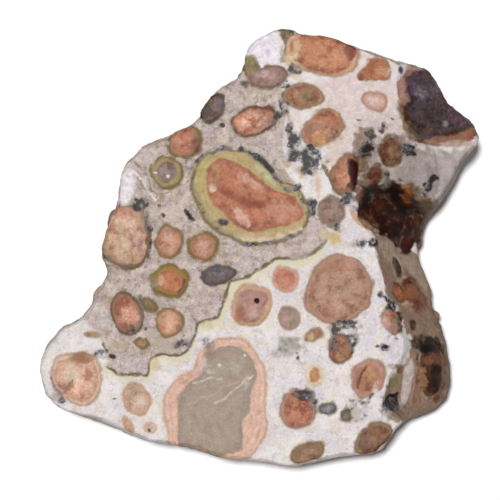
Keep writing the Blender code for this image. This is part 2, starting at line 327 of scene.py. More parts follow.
# Patches of colour on the matrix, under the oncoids: colour, strength, softness in millimetres, and the
# outline in pixels
GROUND_PATCHES = [
    # Painted shade: greys the matrix of the upper right lobe, which slopes away from the light.
    ("#b0a29f", 0.86, 2.4, [(362, 132), (372, 122), (388, 112), (402, 120), (410, 135), (424, 149),
        (452, 150), (482, 140), (470, 165), (455, 185), (440, 205), (425, 230), (405, 252), (385, 238),
        (365, 224), (352, 208), (360, 190), (358, 160)]),
    # The flank's brown: partly its own colour, partly painted shade, as the flank turns away from the light.
    ("#957b69", 0.96, 0.8, [(374, 238), (390, 234), (404, 244), (420, 254), (436, 270), (444, 290),
        (448, 310), (456, 330), (458, 350), (458, 385), (452, 405), (435, 414), (415, 422), (398, 420),
        (388, 410), (384, 400), (386, 386), (392, 376), (402, 367), (410, 354), (412, 340), (405, 328),
        (400, 312), (390, 300), (384, 285), (379, 265)]),
    ("#ab9784", 0.75, 1.0, [(380, 242), (395, 240), (410, 250), (422, 262), (430, 285), (426, 292),
        (412, 275), (400, 262), (388, 262), (382, 255)]),
    # Painted shade: darker along the flank's right edge, where it turns away from the light.
    ("#6e5f50", 0.60, 1.2, [(436, 296), (440, 310), (452, 330), (456, 360), (456, 400), (446, 410),
        (446, 380), (446, 350), (440, 330), (432, 312)]),
    # Partly painted shade: the left side of the shallow dish under the step's edge, over the matrix's
    # grey-brown.
    ("#877972", 0.75, 1.8, [(357, 128), (366, 119), (378, 122), (381, 136), (379, 152), (372, 168),
        (360, 166), (355, 148)]),
    ("#5f4a32", 0.85, 0.6, [(276, 24), (290, 26), (298, 40), (292, 47), (287, 60), (282, 62), (284, 48),
        (280, 38)]),
    ("#cdbd9c", 0.45, 1.6, [(284, 56), (292, 60), (296, 74), (306, 80), (300, 84), (288, 76)]),
]

# Patches of colour over everything, in the same form
COAT_PATCHES = [
    # Partly painted shade: the ridge between the sawn face and the dish, which turns away from the light.
    ("#7f6b5c", 0.78, 1.6, [(352, 144), (356, 134), (364, 127), (372, 128), (374, 140), (367, 152),
        (367, 164), (372, 192), (364, 200), (358, 190), (360, 174), (356, 160)]),
    # Painted shade: greys the upper right lobe, which slopes away from the light.
    ("#978b88", 0.62, 2.2, [(392, 134), (404, 138), (416, 146), (436, 152), (456, 151), (472, 152),
        (462, 166), (450, 182), (440, 198), (426, 202), (414, 192), (402, 184), (398, 172), (404, 158)]),
    ("#6b5036", 0.75, 1.4, [(402, 182), (414, 184), (426, 196), (436, 206), (434, 216), (424, 212),
        (412, 200)]),
    # The hollow: partly its own dark red-brown, partly painted shade in the hollow.
    ("#38241a", 0.94, 1.8, [(361, 190), (370, 184), (383, 184), (394, 180), (404, 184), (413, 192),
        (420, 204), (428, 218), (426, 236), (416, 250), (406, 256), (396, 246), (384, 236), (372, 230),
        (362, 222), (356, 212), (357, 200)]),
    ("#4c4146", 0.90, 1.0, [(406, 76), (415, 70), (430, 70), (442, 78), (452, 98), (462, 110), (478, 122),
        (472, 129), (453, 131), (437, 136), (421, 140), (411, 129), (406, 116), (402, 100), (405, 84)]),
    ("#47321a", 0.85, 0.8, [(400, 103), (405, 108), (410, 120), (417, 132), (424, 138), (421, 142),
        (413, 137), (405, 124)]),
    ("#ad8577", 0.75, 0.9, [(397, 79), (404, 79), (406, 91), (408, 101), (402, 105), (397, 95)]),
    # Painted shadow: the black inside the vug, an open hole in the stone.
    ("#110c09", 0.96, 0.5, [(383, 406), (386, 399), (392, 394), (399, 392), (398, 400), (400, 408),
        (391, 409)]),
    ("#865a46", 0.75, 1.0, [(406, 283), (418, 283), (426, 294), (430, 306), (425, 313), (416, 311),
        (408, 300)]),
    ("#3a2f2a", 0.80, 1.4, [(412, 338), (428, 334), (442, 340), (445, 352), (434, 356), (420, 354),
        (413, 347)]),
    ("#6f5142", 0.70, 1.4, [(424, 356), (436, 353), (447, 356), (449, 380), (447, 398), (436, 406),
        (438, 380), (434, 364), (427, 368)]),
    ("#2f2924", 0.80, 1.2, [(432, 364), (440, 366), (443, 382), (440, 392), (435, 390), (431, 380)]),
    ("#a0795a", 0.70, 1.0, [(419, 368), (426, 370), (427, 385), (424, 398), (419, 396), (419, 384)]),
    ("#c3b4aa", 0.80, 1.2, [(405, 360), (413, 358), (415, 372), (414, 386), (409, 402), (401, 410),
        (402, 392), (404, 374)]),
    ("#8c8160", 0.75, 1.0, [(389, 377), (396, 371), (400, 376), (399, 386), (393, 391), (388, 389)]),
    ("#8a7b6a", 0.70, 1.2, [(380, 409), (392, 411), (400, 414), (398, 422), (386, 420), (379, 414)]),
    ("#54402f", 0.80, 0.8, [(396, 311), (402, 312), (405, 322), (402, 331), (397, 331), (398, 320)]),
    ("#c39a78", 0.85, 0.6, [(350, 210), (354, 210), (362, 220), (372, 226), (380, 231), (374, 232),
        (362, 228), (354, 219)]),
    ("#5d3a28", 0.75, 0.7, [(353, 206), (361, 208), (370, 217), (380, 228), (374, 226), (362, 219)]),
    # Partly painted shade: the side of the step that turns away from the light, over its dark red-brown.
    ("#3b2018", 0.90, 0.9, [(347, 160), (353, 157), (359, 166), (359, 180), (354, 192), (348, 190),
        (349, 174)]),
    ("#8b6b58", 0.70, 1.2, [(355, 157), (362, 156), (364, 170), (362, 184), (362, 199), (357, 204),
        (353, 198), (359, 182), (360, 168)]),
    ("#cdb690", 0.65, 0.8, [(299, 164), (304, 152), (310, 154), (303, 166), (303, 178), (298, 176)]),
    ("#c7a488", 0.55, 1.2, [(236, 229), (252, 233), (268, 234), (284, 230), (296, 225), (300, 229),
        (288, 236), (268, 240), (250, 239), (236, 234)]),
    ("#ded0ae", 0.50, 0.9, [(234, 237), (252, 238), (270, 238), (288, 234), (300, 227), (302, 231),
        (288, 239), (268, 243), (250, 243), (235, 238)]),
    ("#b7ab62", 0.55, 1.2, [(197, 172), (204, 162), (212, 156), (210, 166), (203, 180), (203, 196),
        (207, 206), (203, 206), (197, 192)]),
    ("#b9bc92", 0.65, 1.0, [(254, 163), (264, 168), (274, 178), (281, 184), (274, 186), (264, 178),
        (256, 170)]),
    ("#8a4229", 0.60, 1.4, [(216, 176), (222, 184), (232, 190), (240, 194), (252, 198), (262, 202),
        (268, 207), (258, 210), (244, 206), (230, 200), (219, 190)]),
    ("#d6ab98", 0.60, 1.4, [(240, 172), (252, 178), (262, 188), (258, 192), (246, 184), (238, 178)]),
    ("#d3a694", 0.70, 1.0, [(236, 208), (246, 212), (252, 222), (248, 228), (240, 222), (235, 214)]),
    ("#c58e76", 0.60, 1.6, [(268, 204), (284, 200), (300, 206), (303, 216), (294, 224), (280, 224),
        (270, 216)]),
    ("#b98a66", 0.50, 1.4, [(207, 178), (213, 166), (222, 163), (218, 176), (212, 196), (214, 208),
        (208, 200)]),
]

# Soft stains on the matrix: middle and half sizes in pixels, colour, strength
GROUND_STAINS = [
    ((288, 126), (3, 14), "#98865a", 0.65), ((293, 149), (4, 9), "#98865a", 0.6),
    # The spot at (437, 206) darkens the stone's edge below the dish.
    ((437, 152), (8, 4), "#a99e88", 0.6), ((437, 206), (4, 11), "#5c5248", 0.6),
    ((446, 196), (4, 10), "#a89a86", 0.6), ((398, 176), (8, 8), "#ad9a90", 0.5),
    ((420, 205), (6, 8), "#8f8278", 0.5), ((452, 165), (10, 12), "#c3b4b6", 0.5),
    ((332, 108), (14, 10), "#d8c9bb", 0.6), ((300, 170), (12, 6), "#cabdae", 0.6),
    ((325, 235), (8, 8), "#cfc08c", 0.55), ((310, 262), (30, 6), "#d9cfae", 0.5),
    ((345, 245), (16, 6), "#cdbfae", 0.6), ((228, 325), (14, 6), "#d8cba6", 0.5),
    ((270, 320), (8, 14), "#ddd2c0", 0.5), ((315, 374), (13, 12), "#ddd0b8", 0.6),
    ((120, 345), (10, 5), "#a99a72", 0.5), ((240, 120), (8, 8), "#b8a59c", 0.5),
    ((222, 145), (18, 4), "#b3a49a", 0.5), ((176, 212), (18, 8), "#c9b8ac", 0.5),
    ((165, 345), (14, 6), "#a8958a", 0.5), ((262, 48), (20, 24), "#ece2ea", 0.95),
    ((126, 184), (10, 26), "#e9e0e4", 0.85), ((365, 108), (66, 60), "#d9c5c1", 0.75),
    ((338, 145), (15, 22), "#d5c3b5", 0.7), ((334, 236), (8, 8), "#c8ab6c", 0.8),
    ((428, 172), (30, 30), "#b9aba8", 0.6), ((395, 347), (15, 14), "#d3c8cd", 0.8),
    ((155, 364), (7, 8), "#cbb88c", 0.6), ((207, 325), (9, 6), "#cdbd94", 0.5),
    ((164, 369), (9, 5), "#b5a883", 0.4), ((163, 305), (4, 4), "#8f877f", 0.5),
    ((338, 381), (4, 10), "#c79878", 0.4), ((160, 340), (34, 14), "#bba999", 0.35),
    ((205, 250), (14, 12), "#b7a698", 0.4), ((300, 250), (20, 10), "#bfb0a8", 0.35),
    ((440, 160), (16, 8), "#cbbcc4", 0.5), ((288, 343), (13, 9), "#a3978e", 0.75),
    ((296, 352), (9, 7), "#bcb0a6", 0.5), ((300, 310), (10, 8), "#d8c8c0", 0.4),
    ((366, 236), (14, 8), "#d9cbc6", 0.6), ((262, 440), (10, 14), "#cfc0b4", 0.4),
]

# Soft spots of colour over everything, in the same form; some are wholly or partly painted shade, as marked
# below
COAT_STAINS_AND_SHADE = [
    ((437, 86), (10, 8), "#766a73", 0.5), ((424, 94), (8, 8), "#6b5f70", 0.5),
    ((452, 112), (8, 5), "#5a4852", 0.5), ((431, 118), (9, 8), "#3a3033", 0.5),
    ((421, 128), (5, 6), "#3c2c1a", 0.6), ((411, 128), (4, 8), "#4a3a20", 0.5),
    # The near-black spots from here to (392, 217) lie in the hollow: partly its own dark red-brown, partly
    # painted shade.
    ((396, 196), (5, 8), "#170e08", 0.7), ((402, 211), (6, 7), "#1a0e09", 0.7),
    ((391, 212), (6, 6), "#200f0a", 0.6), ((400, 228), (5, 6), "#15180d", 0.7),
    ((379, 205), (6, 6), "#4a2e14", 0.7), ((370, 211), (6, 4), "#4a2119", 0.6),
    ((407, 224), (5, 8), "#41201a", 0.6), ((408, 242), (5, 7), "#55201a", 0.7),
    ((408, 194), (5, 9), "#84502b", 0.8), ((407, 186), (6, 3), "#9a7c52", 0.6),
    ((418, 222), (4, 9), "#5c391e", 0.7), ((370, 192), (6, 5), "#1c302b", 0.8),
    ((385, 186), (5, 3), "#4f6355", 0.6), ((387, 176), (4, 7), "#30322e", 0.75),
    ((392, 217), (6, 5), "#3b2523", 0.5), ((412, 88), (6, 7), "#584a66", 0.65),
    ((422, 90), (9, 9), "#6f686b", 0.65), ((401, 70), (3, 6), "#4c2e42", 0.8),
    ((416, 66), (12, 5), "#ab9286", 0.75), ((446, 124), (3, 3), "#9a918c", 0.7),
    ((458, 121), (8, 5), "#6a4a5d", 0.6), ((470, 137), (4, 4), "#ae5b49", 0.7),
    ((434, 112), (10, 8), "#3d342c", 0.5), ((428, 128), (10, 6), "#51443a", 0.5),
    ((411, 281), (8, 4), "#562e1d", 0.85), ((419, 305), (5, 7), "#6a3424", 0.7),
    ((405, 298), (5, 6), "#8c5a44", 0.5), ((428, 349), (7, 5), "#171210", 0.8),
    ((428, 361), (7, 5), "#7d5442", 0.7), ((418, 361), (3, 8), "#3a2d26", 0.6),
    ((415, 401), (4, 4), "#a25c4b", 0.7), ((413, 388), (3, 7), "#b07a6c", 0.6),
    ((401, 371), (4, 5), "#7a4a3a", 0.7), ((414, 326), (3, 5), "#5a4334", 0.7),
    ((434, 398), (7, 4), "#5f4636", 0.6), ((376, 392), (5, 12), "#dcd2c8", 0.6),
    ((393, 366), (8, 4), "#8b7b66", 0.6), ((268, 53), (3, 6), "#b9aab4", 0.6),
    ((282, 52), (3, 8), "#a8998f", 0.6), ((285, 33), (7, 5), "#7a6c4c", 0.7),
    ((252, 60), (7, 7), "#8d8258", 0.75), ((361, 77), (4, 4), "#7c4634", 0.8),
    ((374, 66), (5, 6), "#b0683f", 0.7), ((386, 72), (5, 6), "#d6b49c", 0.5),
    ((353, 50), (5, 9), "#87472f", 0.7), ((318, 44), (16, 9), "#bf7d58", 0.5),
    ((323, 62), (10, 5), "#c08c6a", 0.5), ((297, 48), (5, 12), "#cfae88", 0.6),
    ((303, 52), (5, 9), "#ad8256", 0.45), ((322, 124), (8, 5), "#b9846a", 0.5),
    ((307, 210), (3, 8), "#8a8a58", 0.5), ((205, 365), (8, 10), "#b9b3ac", 0.45),
    ((236, 365), (10, 12), "#b3aca5", 0.4), ((246, 384), (5, 8), "#c2b6b4", 0.5),
    ((211, 372), (5, 3), "#d5d3d4", 0.5), ((196, 374), (7, 4), "#c9a59c", 0.5),
    ((300, 255), (12, 5), "#8c7262", 0.35), ((338, 266), (20, 8), "#a3705a", 0.5),
    ((320, 285), (10, 14), "#b5927a", 0.4), ((345, 290), (14, 14), "#a18a74", 0.4),
    ((326, 312), (10, 6), "#a9705c", 0.5), ((350, 262), (10, 6), "#c49a86", 0.4),
    ((361, 292), (6, 14), "#b08a78", 0.4), ((128, 213), (13, 8), "#c98f78", 0.6),
    ((118, 266), (14, 5), "#8d7265", 0.6), ((140, 244), (4, 8), "#8b6a74", 0.5),
    ((284, 318), (6, 9), "#b38d80", 0.6), ((293, 318), (5, 9), "#8d897a", 0.6),
    ((318, 333), (4, 5), "#8e5f45", 0.7), ((311, 336), (4, 5), "#c0a980", 0.6),
    ((344, 354), (4, 4), "#5c5a30", 0.7), ((340, 358), (7, 4), "#bf7c54", 0.6),
    ((246, 302), (9, 4), "#8e6656", 0.5), ((252, 314), (8, 6), "#c2a58c", 0.5),
    ((238, 318), (5, 5), "#b5705a", 0.5), ((310, 396), (7, 7), "#4a3a3a", 0.6),
    ((292, 416), (8, 8), "#cf8f72", 0.5), ((218, 270), (8, 4), "#55566a", 0.6),
    ((170, 318), (7, 8), "#d9a88e", 0.5), ((168, 238), (5, 6), "#d6ab94", 0.6),
    ((168, 232), (3, 5), "#8c7478", 0.5), ((204, 245), (5, 5), "#c99a90", 0.5),
    ((107, 306), (5, 5), "#c59a88", 0.6), ((141, 303), (4, 8), "#6b4e38", 0.6),
    ((213, 188), (4, 5), "#d9bfae", 0.7), ((224, 222), (5, 4), "#5c3a2a", 0.7),
    ((210, 351), (8, 12), "#8b7468", 0.65), ((190, 376), (4, 3), "#c98f80", 0.6),
    ((83, 358), (14, 8), "#966a4c", 0.8), ((71, 374), (10, 12), "#d0bda2", 0.7),
    ((292, 60), (8, 12), "#d0b894", 0.7), ((350, 54), (7, 9), "#7c4632", 0.8),
    ((268, 114), (11, 13), "#6d4a42", 0.45), ((196, 146), (8, 12), "#6b4433", 0.6),
    ((178, 140), (8, 9), "#d09478", 0.5), ((206, 110), (7, 12), "#3d2f28", 0.75),
    ((219, 106), (7, 10), "#776268", 0.6), ((245, 84), (6, 5), "#4e3a30", 0.7),
    ((160, 281), (5, 7), "#d8b59c", 0.6), ((262, 74), (10, 5), "#cbb4ae", 0.5),
    ((154, 283), (4, 6), "#8d8680", 0.6), ((131, 330), (6, 6), "#5f4432", 0.7),
    # The dark spot at (257, 301) is painted shade in a pit.
    ((241, 312), (6, 9), "#955f4b", 0.65), ((257, 301), (3, 3), "#2c211f", 0.9),
    ((308, 96), (9, 6), "#6f6238", 0.75), ((296, 94), (6, 6), "#c08f70", 0.6),
    ((314, 98), (4, 7), "#7c4a33", 0.7), ((340, 172), (6, 16), "#c48a6c", 0.5),
    ((320, 140), (12, 8), "#c59a62", 0.6), ((334, 120), (9, 7), "#a45c42", 0.55),
    ((386, 322), (6, 9), "#c99c8e", 0.7), ((413, 325), (4, 6), "#453229", 0.75),
    ((288, 165), (4, 4), "#bb8c4a", 0.7), ((306, 155), (6, 7), "#b9b6b4", 0.5),
    ((381, 130), (3, 3), "#6e7a52", 0.6), ((397, 320), (3, 3), "#6d8450", 0.7),
    ((128, 240), (5, 26), "#d6bba4", 0.5), ((120, 238), (3, 24), "#a89672", 0.45),
    ((148, 240), (3, 22), "#6f4b31", 0.8), ((135, 266), (14, 3), "#6b5233", 0.7),
    ((356, 378), (4, 14), "#8b5748", 0.5), ((140, 248), (4, 6), "#8d6a72", 0.5),
    ((370, 66), (6, 8), "#8f4f36", 0.55), ((380, 70), (6, 6), "#c08a68", 0.5),
    ((318, 184), (4, 14), "#cdb08c", 0.6), ((325, 168), (5, 8), "#d0b68c", 0.5),
    # The greyish brown spots from here to (446, 170) are painted shade over the matrix's grey, on the dish's
    # left side and the upper right lobe.
    ((360, 142), (5, 8), "#85705f", 0.8), ((366, 150), (4, 8), "#7d6a5b", 0.7),
    ((364, 163), (4, 8), "#7f6a59", 0.8), ((367, 133), (6, 5), "#9a8a7b", 0.65),
    ((378, 165), (5, 4), "#7a695c", 0.65), ((380, 141), (4, 7), "#94857a", 0.55),
    ((403, 140), (4, 8), "#9a8b80", 0.6), ((398, 168), (6, 7), "#a3928a", 0.55),
    ((410, 160), (9, 6), "#aa9d98", 0.5), ((430, 158), (14, 5), "#b0a19d", 0.5),
    ((426, 176), (9, 9), "#aea1a2", 0.5), ((446, 170), (7, 8), "#b5a7a8", 0.5),
    # The dark spots at (436, 203), (426, 206), (432, 214) and (420, 240) darken the stone's edge below the
    # dish.
    ((458, 144), (22, 4), "#b89f92", 0.8), ((436, 203), (5, 5), "#8b7d72", 0.6),
    ((426, 206), (5, 7), "#77604c", 0.6), ((432, 214), (5, 8), "#5d4534", 0.7),
    ((420, 240), (5, 9), "#4b2f22", 0.7),
]

# Manganese: middle and half sizes in pixels, strength; the spot at (373, 242) is painted shade in a pit
MANGANESE_AND_PIT_SHADE = [
    ((308, 159), (15, 13), 0.98), ((294, 142), (7, 10), 0.95), ((290, 128), (4, 8), 0.7),
    ((284, 105), (5, 8), 0.7), ((284, 84), (5, 4), 0.7), ((294, 69), (6, 5), 0.75),
    ((371, 135), (5, 6), 0.95), ((368, 150), (7, 10), 0.95), ((385, 124), (4, 5), 0.85),
    ((381, 131), (4, 4), 0.6), ((410, 149), (7, 8), 0.8), ((433, 179), (6, 5), 0.95),
    ((428, 186), (5, 5), 0.95), ((423, 193), (5, 6), 0.7), ((304, 394), (11, 6), 0.9),
    ((315, 404), (5, 9), 0.7), ((311, 207), (5, 8), 0.95), ((347, 199), (6, 6), 0.95),
    ((338, 228), (5, 4), 0.8), ((359, 243), (7, 4), 0.95), ((373, 242), (5, 5), 0.98),
    ((346, 326), (14, 5), 0.8), ((334, 336), (4, 12), 0.75), ((352, 340), (6, 12), 0.65),
    ((139, 202), (9, 7), 0.85), ((145, 214), (4, 4), 0.7), ((392, 404), (12, 8), 0.6),
    ((292, 189), (9, 4), 0.85), ((280, 183), (4, 4), 0.9), ((222, 222), (5, 4), 0.8),
    ((103, 353), (9, 5), 0.75), ((182, 344), (9, 5), 0.6), ((222, 125), (4, 4), 0.7),
    ((386, 347), (6, 4), 0.7), ((386, 176), (5, 8), 0.6), ((266, 128), (10, 4), 0.6),
    ((207, 342), (6, 5), 0.65), ((355, 410), (12, 12), 0.4), ((396, 330), (6, 8), 0.5),
    ((278, 120), (5, 8), 0.6), ((150, 186), (12, 8), 0.35), ((366, 444), (10, 8), 0.3),
    ((292, 350), (16, 12), 0.42), ((330, 130), (9, 12), 0.3), ((60, 396), (8, 8), 0.5),
    ((134, 388), (6, 8), 0.35), ((190, 165), (5, 7), 0.5), ((393, 306), (5, 5), 0.8),
    ((312, 128), (8, 5), 0.35), ((203, 104), (5, 10), 0.4), ((341, 352), (8, 6), 0.35),
]

# Manganese along lines: half width in millimetres, strength, line in pixels
MANGANESE_LINES = [
    (0.55, 0.75, [(197, 162), (205, 155), (215, 150), (228, 148), (242, 150)]),
    (0.60, 0.95, [(250, 154), (258, 158), (266, 164), (274, 173), (281, 181)]),
    (0.50, 0.50, [(193, 180), (196, 194), (201, 206), (207, 216), (213, 223), (224, 231), (236, 239),
        (247, 245)]),
    (0.35, 0.60, [(250, 246), (265, 243), (285, 239), (300, 232)]),
    (0.40, 0.80, [(380, 293), (386, 299), (393, 307)]),
    (0.45, 0.60, [(298, 196), (304, 200), (309, 206)]),
    (0.35, 0.55, [(340, 420), (343, 417), (350, 424)]),
    (0.35, 0.5, [(352, 412), (358, 404), (368, 402), (372, 395)]),
    (0.45, 0.60, [(147, 264), (151, 252), (151, 238), (148, 222)]),
    (0.4, 0.5, [(103, 256), (112, 264), (128, 270)]),
    (0.35, 0.60, [(139, 296), (142, 310), (138, 326), (130, 333)]),
    (0.4, 0.6, [(186, 70), (184, 84), (192, 90)]),
    (0.40, 0.55, [(330, 327), (338, 322), (356, 321)]),
    (0.4, 0.5, [(203, 99), (199, 112), (203, 122)]),
]

# Thin marks on the face: colour, half width in millimetres, line in pixels
MARKS = [
    # The first two lines run along the top edge: painted shade where the face rounds over.
    ("#86593f", 0.34, [(298, 31), (310, 36), (325, 36), (340, 41), (352, 46)]),
    ("#a58d7c", 0.30, [(357, 48), (380, 57), (400, 64)]),
    ("#6b5a3c", 0.30, [(322, 164), (327, 178), (334, 188), (342, 194)]),
    ("#7d6a45", 0.26, [(193, 176), (192, 190), (197, 205), (204, 216), (210, 226), (222, 234), (235, 239),
        (247, 246), (262, 243), (285, 240)]),
    ("#d3aa98", 0.24, [(238, 208), (245, 216), (250, 225)]),
    ("#c8bcb1", 0.20, [(192, 383), (203, 382), (210, 379), (220, 379)]),
    ("#c6b9ae", 0.20, [(215, 403), (225, 398), (233, 392), (240, 385), (247, 378)]),
    ("#b8aa9e", 0.12, [(190, 405), (200, 398), (214, 396), (222, 388), (232, 384), (240, 380)]),
    ("#ddd6d0", 0.26, [(219, 364), (220, 365)]),
    ("#e6dfd8", 0.22, [(244, 356), (245, 356)]),
    ("#dcd4ce", 0.20, [(248, 380), (252, 376)]),
    ("#8d6a58", 0.20, [(72, 380), (68, 387), (62, 395)]),
    ("#8a6f78", 0.26, [(50, 378), (55, 388), (62, 396)]),
    ("#b9a48c", 0.20, [(110, 268), (120, 271), (130, 272)]),
    ("#6b5033", 0.30, [(102, 256), (110, 262), (125, 267), (133, 268), (143, 262), (150, 250), (150, 236),
        (147, 222)]),
    # The dark marks on pits, at (112, 356), (190, 215), (162, 215), (222, 125), (146, 328), (149, 430), (297,
    # 358) and (384, 346), are painted shade in the pits.
    ("#30251f", 0.50, [(111, 356), (113, 356)]),
    ("#6e5c3a", 0.40, [(103, 344), (107, 351)]),
    ("#2e2420", 0.45, [(186, 211), (190, 216), (193, 219)]),
    ("#4b3c30", 0.40, [(162, 215), (163, 216)]),
    ("#5a4a3c", 0.34, [(158, 206), (159, 206)]),
    ("#3a2d26", 0.34, [(175, 347), (182, 341)]),
    ("#3a2e28", 0.42, [(222, 125), (223, 126)]),
    ("#4a3b30", 0.32, [(146, 328), (147, 329)]),
    ("#4f4038", 0.34, [(149, 430), (150, 431)]),
    ("#4f4038", 0.30, [(114, 398), (115, 398)]),
    ("#5c4d44", 0.30, [(60, 402), (61, 402)]),
    ("#3f332d", 0.30, [(297, 358), (298, 358)]),
    ("#3a2f2b", 0.34, [(384, 346), (385, 346)]),
    ("#3a2f2b", 0.30, [(377, 346), (378, 346)]),
    ("#e9e0dc", 0.26, [(135, 172), (145, 187), (156, 200)]),
    ("#5f4a36", 0.34, [(392, 118), (393, 119)]),
    ("#77706e", 0.34, [(359, 120), (360, 120)]),
    ("#e6dcd8", 0.34, [(155, 173), (156, 173)]),
    ("#e0d4d0", 0.28, [(168, 177), (169, 177)]),
    ("#8f7c50", 0.24, [(135, 162), (142, 170), (148, 180), (150, 190)]),
    ("#8f7c50", 0.22, [(138, 178), (144, 188), (158, 194), (172, 192)]),
    ("#7a6238", 0.34, [(325, 165), (330, 180), (337, 190), (345, 198)]),
    ("#5e3328", 0.34, [(256, 107), (268, 107), (276, 114), (274, 124), (262, 131)]),
    ("#6d3a2c", 0.28, [(357, 388), (360, 376), (366, 366)]),
    ("#62402c", 0.34, [(178, 292), (183, 287), (184, 280)]),
]

# Pits and the vug in the face: middle in pixels, radius and depth in millimetres
PITS = [
    ((112, 356), 0.8, 0.7), ((190, 215), 0.9, 0.8), ((257, 301), 0.8, 0.6), ((373, 241), 1.0, 0.9),
    ((391, 400), 1.9, 0.6), ((384, 346), 0.7, 0.5), ((146, 328), 0.6, 0.4), ((222, 125), 0.7, 0.5),
    ((297, 358), 0.6, 0.4), ((149, 430), 0.6, 0.4), ((162, 215), 0.6, 0.4), ((309, 202), 0.8, 0.6),
]

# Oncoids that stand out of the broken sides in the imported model: direction in degrees, height, radius
SIDE_ONCOIDS = [
    (8, 17.0, 5.0), (33, 20.0, 4.2), (58, 15.0, 6.0), (84, 22.0, 4.6), (97, 12.0, 3.6), (118, 19.0, 6.5),
    (141, 12.0, 4.4), (163, 20.0, 5.4), (186, 12.0, 4.0), (196, 25.0, 4.8), (217, 14.0, 6.2),
    (236, 22.0, 3.8), (254, 11.0, 4.8), (266, 24.0, 5.6), (281, 13.0, 4.2), (297, 22.0, 5.2),
    (318, 14.0, 6.4), (334, 13.0, 4.4), (349, 9.0, 4.6),
]

# The half width of such an oncoid across its direction, as a share of its radius, taken in turn
SIDE_SHARES = (0.85, 1.0, 1.15)

# The stone's middle as seen from above, in millimetres
MIDDLE = (-4.0, -3.0)

# Colours that hidden oncoids are drawn from: heart, rim, rim width, kind
HIDDEN_LOOKS = [
    ("#bd8266", "#cfa184", 0.8, Kind.LINED), ("#c79478", "#d0a890", 0.7, Kind.PLAIN),
    ("#a8745c", "#b58c70", 0.8, Kind.STAINED), ("#b98a6c", "#93763f", 1.1, Kind.OLIVE),
    ("#8d6a52", "#a3845f", 0.7, Kind.STAINED), ("#ae9b8c", "#cda48c", 1.3, Kind.RINGED),
    ("#7d6a68", "#8f7d74", 0.6, Kind.STAINED), ("#c9a68e", "#c2977c", 0.8, Kind.RINGED),
]


class Reach:
    """How far an oncoid reaches from its middle in each direction round it, in millimetres."""

    STEPS = 144

    def __init__(self, radii: np.ndarray) -> None:
        """Keeps the radii at even steps round the middle."""
        self.radii = np.append(radii, radii[0])

    @classmethod
    def from_outline(cls, pixels: Points, middle: np.ndarray) -> "Reach":
        """Reads the radii off an outline that was read from the picture.

        Args:
            pixels: The outline's points.
            middle: The oncoid's middle in millimetres.

        Returns:
            The reach in all directions.
        """
        away = closed_curve(on_face(pixels)) - middle
        angles = np.arctan2(away[:, 1], away[:, 0])
        order = np.argsort(angles)
        wanted = np.linspace(-math.pi, math.pi, cls.STEPS, endpoint=False)
        radii = np.interp(wanted, angles[order], np.linalg.norm(away, axis=1)[order], period=2.0 * math.pi)
        return cls(radii)

    @classmethod
    def from_ellipse(cls, halves: tuple[float, float], turn: float, seed: int, uneven: float) -> "Reach":
        """An ellipse with a slightly uneven edge.

        Args:
            halves: The half lengths.
            turn: The turn of the first one from +X, in degrees.
            seed: The fixed seed of the uneven edge.
            uneven: How uneven the edge is, as a share of the radius.

        Returns:
            The reach in all directions.
        """
        draw = np.random.default_rng(seed)
        angles = np.linspace(-math.pi, math.pi, cls.STEPS, endpoint=False)
        local = angles - math.radians(turn)
        radii = 1.0 / np.sqrt((np.cos(local) / halves[0]) ** 2 + (np.sin(local) / halves[1]) ** 2)
        for order in range(2, 8):
            size = uneven * draw.normal() * 2.6 / order ** 1.6
            radii = radii * (1.0 + size * np.sin(order * angles + draw.uniform(0.0, 2.0 * math.pi)))
        return cls(radii)

    def at(self, angles: np.ndarray) -> np.ndarray:
        """Reads the reach between the even steps.

        Args:
            angles: Directions in radians.

        Returns:
            The reach in each direction.
        """
        place = (angles + math.pi) / (2.0 * math.pi) * self.STEPS
        low = np.clip(place.astype(int), 0, self.STEPS - 1)
        share = place - low
        return self.radii[low] * (1.0 - share) + self.radii[low + 1] * share


@dataclass
class PlacedOncoid:
    """An oncoid with its middle in space and its uneven shape."""

    oncoid: Oncoid
    middle: np.ndarray
    edge: Reach
    heart: Reach
    seed: int

    def cut(self, points: np.ndarray) -> tuple[np.ndarray, np.ndarray]:
        """Signed distances of places from the oncoid's edge and from its heart's edge.

        Args:
            points: Places in millimetres.

        Returns:
            Both distances, below zero inside.
        """
        away = points - self.middle
        flat = np.hypot(away[:, 0], away[:, 1])
        angles = np.arctan2(away[:, 1], away[:, 0])
        edge, heart = self.edge.at(angles), self.heart.at(angles)
        depth = self.oncoid.half_depth()
        heart_depth = depth * float(np.mean(self.heart.radii / self.edge.radii))
        distance = np.linalg.norm(away, axis=1) + 1e-6
        ratio = np.hypot(flat / edge, away[:, 2] / depth) + 1e-6
        heart_ratio = np.hypot(flat / heart, away[:, 2] / heart_depth) + 1e-6
        return distance * (1.0 - 1.0 / ratio), distance * (1.0 - 1.0 / heart_ratio)


